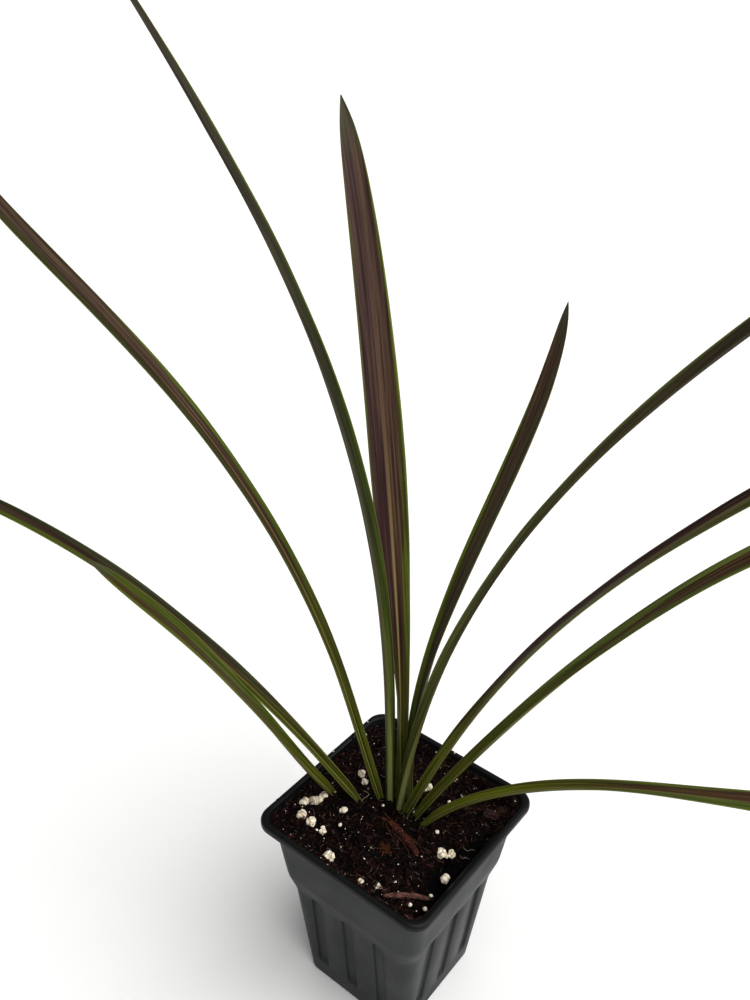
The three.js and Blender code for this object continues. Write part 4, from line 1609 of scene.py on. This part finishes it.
LEAVES = (
    Leaf(
        "leaf_01_low_left", (-27.9, -7.6), 238, 0, (34, 17, 37, 37), (-53, 11, -32), 176, 2.6, 5.2, 9.8, 0.66,
        Markings((0.75, 0.7, 0.6, 0.5), (0.85, 0.75, 0.7, 0.6), "#5c6317", MOSS, ("#553418", "#4a3a20"),
                 (OLIVE, OLIVE), 0.2, 0.3)),
    Leaf(
        "leaf_02_left", (-17, -3.6), 201, 4, (40, 45, 65, 95), (-42, 65, -30), 297, 2.4, 5.4, 11.2, 0.48,
        Markings((1.0, 0.95, 0.75, 0.5), (0.55, 0.5, 0.3, 0.2), FRESH, GREY, (OLIVE, "#46402f"),
                 ("#47301f", "#443a2e"), 0.15, 0.3)),
    Leaf(
        "leaf_03_upper_left", (-10.4, 2.7), 203, -29, (18, -2, 107, 39), (-55, 66, -59), 389,
        2.8, 5.2, 9, 0.56,
        Markings((0.9, 0.5, 0.5, 0.5), (0.95, 0.6, 0.15, 0.0), "#404223", MOSS, (UMBER, "#4c4234"),
                 ("#452e1f", "#5a4a3f"), 0.2, 0.45)),
    Leaf(
        "leaf_04_long", (-7.1, 4.3), 245, -9, (2, 0, 26, 31), (67, 9, 14), 357, 4.6, 4.8, 8.4, 0.74,
        Markings((1.0, 0.75, 0.2, 0.05), (0.9, 0.35, 0.2, 0.1), "#455214", "#4c4d26", ("#38451a", "#5a5245"),
                 ("#3b4520", "#575042"), 0.1, 0.4)),
    Leaf(
        "leaf_05_broad", (-6.7, 8.5), 160, -7, (-6, 21, 1, 32), (30, -19, -14), 299, 5.4, 5.8, 14.7, 0.56,
        Markings((0.2, 0.1, 0.08, 0.05), (0.7, 0.42, 0.25, 0.1), "#3f3c22", "#5c6626", (PLUM, "#54413e"),
                 ("#4a2e1a", "#604c43"), 0.16, 1.0, -0.45)),
    Leaf(
        "leaf_06_short", (-2, 12.4), 81, 14, (-5, 9, 85, 6), (-28, -18, -11), 237, 5.6, 6, 10.1, 0.68,
        Markings((0.8, 0.6, 0.3, 0.05), (0.1, 0.05, 0.1, 0.1), "#5e6828", "#45472f", ("#48452d", "#5a4739"),
                 ("#4a4632", "#5a4e3d"), 0.05, 0.1)),
    Leaf(
        "leaf_07_tall_right", (-1.7, 3.8), 10, -2, (5, 15, 38, 43), (-74, 41, -89), 332, 4.8, 5, 8.1, 0.54,
        Markings((0.35, 0.3, 0.25, 0.15), (0.8, 0.55, 0.15, 0.1), "#4c382d", "#4a5022",
                 ("#414022", "#423829"), ("#42421f", "#403523"), 0.1, 0.15)),
    Leaf(
        "leaf_08_right", (2.2, 2.8), 22, -6, (19, 20, 52, 43), (68, -77, 83), 297, 4, 5.4, 9.2, 0.44,
        Markings((0.6, 0.62, 0.62, 0.6), (1.0, 1.0, 0.85, 0.7), "#493331", "#606634", ("#67613c", "#6d6546"),
                 ("#6a6443", "#66603f"), 0.26, 0.9)),
    Leaf(
        "leaf_09_lower_right", (6.2, 5.2), 47, -12, (32, 47, 32, 106), (30, -56, 60), 282,
        3.4, 5.6, 10.9, 0.67,
        Markings((1.0, 0.9, 0.35, 0.3), (1.0, 1.0, 0.5, 0.35), "#667039", "#677036", ("#5f562e", "#553831"),
                 ("#5f562e", "#55352f"), 0.22, 0.4)),
    Leaf(
        "leaf_10_arching", (11.1, 3.8), 27, -1, (35, 90, 104, 61), (43, -92, 91), 223, 2, 5, 10.8, 0.68,
        Markings((1.0, 0.45, 0.15, 0.35), (1.0, 1.0, 1.0, 0.6), "#525f26", "#57622a", ("#524628", "#4e2f2a"),
                 ("#524628", "#4e2f2a"), 0.3, 0.5)),
)


@dataclass
class Foliage:
    """The ten leaves, each a channelled stalk that opens into a narrow folded blade.

    Widths and heights are in millimetres. stalk_end, thinned_run, flush_lead and flush_run are shares
    of a leaf's length. A zone is a start and a run along it, and tip_zone adds the most it reaches.
    """

    surface: float = 98.5
    buried: float = 8.5
    stalk_edge: float = 0.65
    edge: float = 0.35
    rib: float = 1.05
    keel: float = 1.6
    fold_at_base: float = 52.0
    fold_open: float = 14.0
    foot_run: float = 13.0
    tip_width: float = 0.25
    tip_slope: float = 0.55
    tip_sharpness: float = 4.0
    stalk_rib: float = 0.7
    vein_pitch: float = 0.8  # real veins lie 0.35 mm apart, which is too fine to show
    stalk_blade: float = 0.75
    blade: float = 0.5
    stalk_end: float = 0.06
    thinned_run: float = 0.15
    thinnest: float = 0.25
    valley: float = 0.1
    wave_length: float = 34.0
    twist_length: float = 52.0
    waviness: float = 0.3
    rib_fade: float = 0.8
    rib_fade_zone: Pair = (0.4, 0.45)
    flush_lead: float = 0.1
    flush_run: float = 0.25
    tip_zone: Point = (0.92, 0.08, 0.8)
    tint_zone: Pair = (0.2, 0.7)
    seam_sharpness: float = 6.0
    steps: int = 170
    columns: int = 24

    def heading(self, leaf: Leaf, t: float) -> tuple[Vector, Vector]:
        """The way that a leaf grows.

        Args:
            leaf: the leaf.
            t: the place along it, from 0 to 1.

        Returns:
            The direction of growth there, and the level direction across it.
        """
        lean = math.radians(glide(leaf.lean, t))
        azimuth = math.radians(leaf.azimuth + leaf.drift * t)
        flat = Vector((math.cos(azimuth), math.sin(azimuth), 0.0))
        along = flat * math.sin(lean) + Vector((0.0, 0.0, math.cos(lean)))
        return along, Vector((-flat.y, flat.x, 0.0))

    def width(self, leaf: Leaf, t: float) -> float:
        """Width of a leaf: a narrow foot, a stalk that widens into the blade, and a short point.

        Args:
            leaf: the leaf.
            t: the place along it, from 0 to 1.

        Returns:
            The width there, in millimetres.
        """
        run = t * leaf.length
        if t <= leaf.widest:
            stalk = lerp(leaf.foot, leaf.base, ease(run / self.foot_run))
            opening = ease((t - self.stalk_end) / (leaf.widest - self.stalk_end))
            return lerp(stalk, leaf.wide, opening)
        taper = min((t - leaf.widest) / (1 - leaf.widest), 1.0)
        blade = leaf.wide * max(1 - taper**1.2, 1e-6) ** 0.35
        point = self.tip_width + self.tip_slope * (leaf.length - run)
        slimmer = (blade**-self.tip_sharpness + point**-self.tip_sharpness) ** (-1 / self.tip_sharpness)
        return max(self.tip_width, slimmer)

    def section(self, leaf: Leaf, t: float, seed: int) -> tuple[np.ndarray, np.ndarray]:
        """Upper and under line of a leaf's section.

        Args:
            leaf: the leaf.
            t: the place along it.
            seed: what makes its waves differ from the others'.

        Returns:
            The upper line and the under line as offsets to the side and along the face, both from the
            +side to the -side.
        """
        opening = ease(t / (0.8 * leaf.widest))
        fold = math.radians(lerp(self.fold_at_base, self.fold_open, opening))
        reach = self.width(leaf, t) / 2
        u = np.linspace(1, -1, self.columns + 1)
        soft = self.valley
        lifted = (np.sqrt(u * u + soft * soft) - soft) / (math.sqrt(1 + soft * soft) - soft)
        wave = noise.noise(Vector((t * leaf.length / self.wave_length, seed * 7.7, 0.0)))
        twist = noise.noise(Vector((t * leaf.length / self.twist_length, seed * 3.3, 5.0)))
        bow = 0.05 * reach * np.sin(math.pi * np.abs(u))
        waves = self.waviness * wave * u**2 + self.waviness * twist * u**3
        face = lifted * reach * math.sin(fold) + opening * (waves - bow)
        upper = np.stack([u * reach * math.cos(fold), face], 1)
        run = np.gradient(upper, axis=0)
        normal = np.stack([-run[:, 1], run[:, 0]], 1)
        normal /= np.maximum(np.linalg.norm(normal, axis=1, keepdims=True), 1e-9)
        thin = min(max((1 - t) / self.thinned_run, self.thinnest), 1.0)
        middle = lerp(self.keel, self.rib * thin, opening)
        round_rib = np.exp(-((u / lerp(0.5, 0.16, opening)) ** 2))
        edge = lerp(self.stalk_edge, self.edge * thin, opening)
        blade = lerp(self.stalk_blade, self.blade * thin, opening)
        thickness = edge + (blade - edge) * (1 - np.abs(u) ** 4) + (middle - blade) * round_rib
        return upper, upper + normal * thickness[:, None]

    def build(self, leaf: Leaf, seed: int, finish: Finish) -> None:
        """Builds one leaf with the attributes that its markings are drawn from.

        Args:
            leaf: the leaf.
            seed: its number.
            finish: the blade's finish.
        """
        place = Vector((leaf.at[0], leaf.at[1], self.surface))
        rings = []
        runs = []
        for step in range(self.steps + 1):
            t = step / self.steps
            along, level = self.heading(leaf, t)
            face = along.cross(level)
            roll = math.radians(glide(leaf.roll, t))
            side = level * math.cos(roll) + face * math.sin(roll)
            up = face * math.cos(roll) - level * math.sin(roll)
            upper, under = self.section(leaf, t, seed)
            ring = [place + side * a + up * b for a, b in [*upper, *under[::-1]]]
            if step == 0:
                rings.append([point - Vector((0.0, 0.0, self.buried)) for point in ring])
                runs.append(0.0)
            rings.append(ring)
            runs.append(t)
            place = place + self.heading(leaf, t + 0.5 / self.steps)[0] * (leaf.length / self.steps)
        count = len(rings[0])
        faces = ring_faces(len(rings), count)
        for first, flip in ((0, True), ((len(rings) - 1) * count, False)):
            for k in range(self.columns):
                quad = (first + k, first + k + 1, first + count - 2 - k, first + count - 1 - k)
                faces.append(tuple(reversed(quad)) if flip else quad)
        blade = mesh_piece(leaf.node + "_blade", [point for ring in rings for point in ring], faces, finish)
        self.mark(blade, leaf, seed, runs)
        settle(blade, "leaf", leaf.node)

    def mark(self, blade: Piece, leaf: Leaf, seed: int, runs: list[float]) -> None:
        """Stores the UV map and the attributes of a leaf's markings.

        Args:
            blade: the leaf's object.
            leaf: the leaf.
            seed: its number.
            runs: the place along the leaf of each ring of points.
        """
        mesh = blade.data
        marks = leaf.markings
        line = np.linspace(1, -1, self.columns + 1)
        u = np.tile(np.concatenate([line, line[::-1]]), len(runs))
        is_upper = np.tile(np.repeat([1.0, 0.0], len(line)), len(runs))
        t = np.repeat(runs, 2 * len(line))
        stations = (0.0, 1 / 3, 2 / 3, 1.0)
        veins = np.repeat([self.width(leaf, run) for run in runs], 2 * len(line)) / 2 / self.vein_pitch
        fading = 1 - self.rib_fade * rise(t, *self.rib_fade_zone)
        flushed = rise(t - marks.flush + self.flush_lead, 0.0, self.flush_run)
        margins = [np.interp(t, stations, widths) for widths in (marks.plus, marks.minus)]
        rib = np.maximum(marks.rib * fading, self.stalk_rib * (1 - flushed))
        vectors = {
            "margins": (*margins, flushed),
            "traits": (rib, is_upper, np.full(len(t), seed * 4.7)),
            "accents": (np.full(len(t), marks.vein), rise(t, *self.tip_zone), veins),
        }
        for name, columns in vectors.items():
            store(blade, name, np.stack(columns, 1), "FLOAT_VECTOR")
        towards_tip = rise(t, *self.tint_zone)[:, None]
        sides = []
        for pair in (marks.centre_plus, marks.centre_minus):
            low, high = np.array(linear(pair[0])), np.array(linear(pair[1]))
            sides.append(low + (high - low) * towards_tip)
        on_plus = np.clip(0.5 + self.seam_sharpness * u, 0, 1)[:, None]
        places = [place for place, _ in RIB_HUES]
        hues = [linear(code) for _, code in RIB_HUES]
        tints = {
            "centre_tint": sides[0] * on_plus + sides[1] * (1 - on_plus),
            "rib_tint": np.stack([np.interp(t, places, row) for row in np.array(hues).T], 1),
            "plus_tint": np.tile(linear(marks.plus_tint), (len(t), 1)),
            "minus_tint": np.tile(linear(marks.minus_tint), (len(t), 1)),
        }
        for name, values in tints.items():
            store(blade, name, values, "FLOAT_COLOR")
        corners = np.zeros(len(mesh.loops), np.int32)
        mesh.loops.foreach_get("vertex_index", corners)
        pairs = np.stack([u[corners], t[corners] * leaf.length * MM], 1)
        mesh.uv_layers.new(name="leaf_uv").data.foreach_set("uv", pairs.astype(np.float32).ravel())


# The studio


@dataclass(frozen=True)
class Studio:
    """Plain pale floor, soft light and the camera at the photograph's angle."""

    azimuth: float = 37.75
    pitch: float = 31.44
    roll: float = -1.41
    place: Point = (176.1, -248.7, 449.3)
    lens: float = 36.0
    sensor: float = 36.0
    floor_half: float = 12000.0
    sky: float = 0.36
    sun: float = 3.5
    sun_spread: float = 80.0
    sun_turn: Point = (-4.0, 37.0, 0.0)
    contrast: float = 0.8

    def camera(self) -> None:
        """Makes the camera and sets it as the scene's own."""
        turn, dip, roll = (math.radians(a) for a in (self.azimuth, self.pitch, self.roll))
        ahead = Vector((-math.sin(turn), math.cos(turn), 0.0))
        right = Vector((math.cos(turn), math.sin(turn), 0.0))
        forward = ahead * math.cos(dip) - Vector((0.0, 0.0, math.sin(dip)))
        down = -right.cross(forward)
        tilted_right = right * math.cos(roll) + down * math.sin(roll)
        tilted_down = down * math.cos(roll) - right * math.sin(roll)
        data = bpy.data.cameras.new("photo_angle")
        data.lens = self.lens
        data.sensor_width = self.sensor
        camera = link("photo_angle", data)
        rotation = Matrix((tilted_right, -tilted_down, -forward)).transposed()
        camera.matrix_world = Matrix.Translation(Vector(self.place) * MM) @ rotation.to_4x4()
        bpy.context.scene.camera = camera

    def build(self) -> None:
        """Builds the floor, the light and the camera."""
        half = self.floor_half
        corners = [(-half, -half, 0.0), (half, -half, 0.0), (half, half, 0.0), (-half, half, 0.0)]
        mesh_piece("paper_floor", corners, [(0, 1, 2, 3)], PAPER.build())
        world = bpy.data.worlds.new("white_tent")
        world.use_nodes = True
        world.node_tree.nodes.clear()
        white = {"Color": (1.0, 1.0, 1.0, 1.0), "Strength": self.sky}
        sky = add_node(world.node_tree, "ShaderNodeBackground", white)
        add_node(world.node_tree, "ShaderNodeOutputWorld", {"Surface": sky})
        bpy.context.scene.world = world
        data = bpy.data.lights.new("overhead_softbox", "SUN")
        data.energy = self.sun
        data.angle = math.radians(self.sun_spread)
        lamp = link("overhead_softbox", data)
        lamp.rotation_euler = [math.radians(a) for a in self.sun_turn]
        self.camera()
        view = bpy.context.scene.view_settings
        view.view_transform = "Standard"
        view.gamma = self.contrast


def main() -> None:
    """Builds the plant's looks and the studio."""
    logging.basicConfig(level=logging.INFO, format="%(name)s: %(message)s")
    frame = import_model()

    pot = NurseryPot()
    pot.build(MouldedPolypropylene().build())

    peat, perlite = DAMP_PEAT.build(), PERLITE.build()
    rootlet = ROOTLET.build()
    soil = Soil(pot)
    litter = GroundLitter(soil, soil.build(peat), scatter_tree(), fibre_tree())
    litter.build(peat, COMPOSTED_BARK.build(), COIR.build(), DULL_COIR.build(), rootlet, perlite)
    soil.strands(ROOTLETS, rootlet)

    skin = relief_tree()
    grain = PerliteGrain()
    grains = sorted(name for name in frame["nodes"] if name.startswith("perlite_"))
    for number, node in enumerate(grains):
        low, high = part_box(node)
        grain.build(node, low / MM, high / MM, skin, number, perlite)
    strip = BARK_STRIP.build()
    other_bark = {"bark_stick": TWIG.build(), "bark_chip": OLD_BARK.build()}
    for shape in BARK_PIECES:
        soil.bark(shape, skin, other_bark.get(shape.name, strip))

    rootstock = frame["nodes"]["rootstock"]
    rootstock.data.materials.clear()
    rootstock.data.materials.append(ROOT_SKIN.build())

    foliage = Foliage()
    blade = LeafBlade().build()
    for number, leaf in enumerate(LEAVES):
        foliage.build(leaf, number, blade)

    Studio().build()


if __name__ == "__main__":
    main()
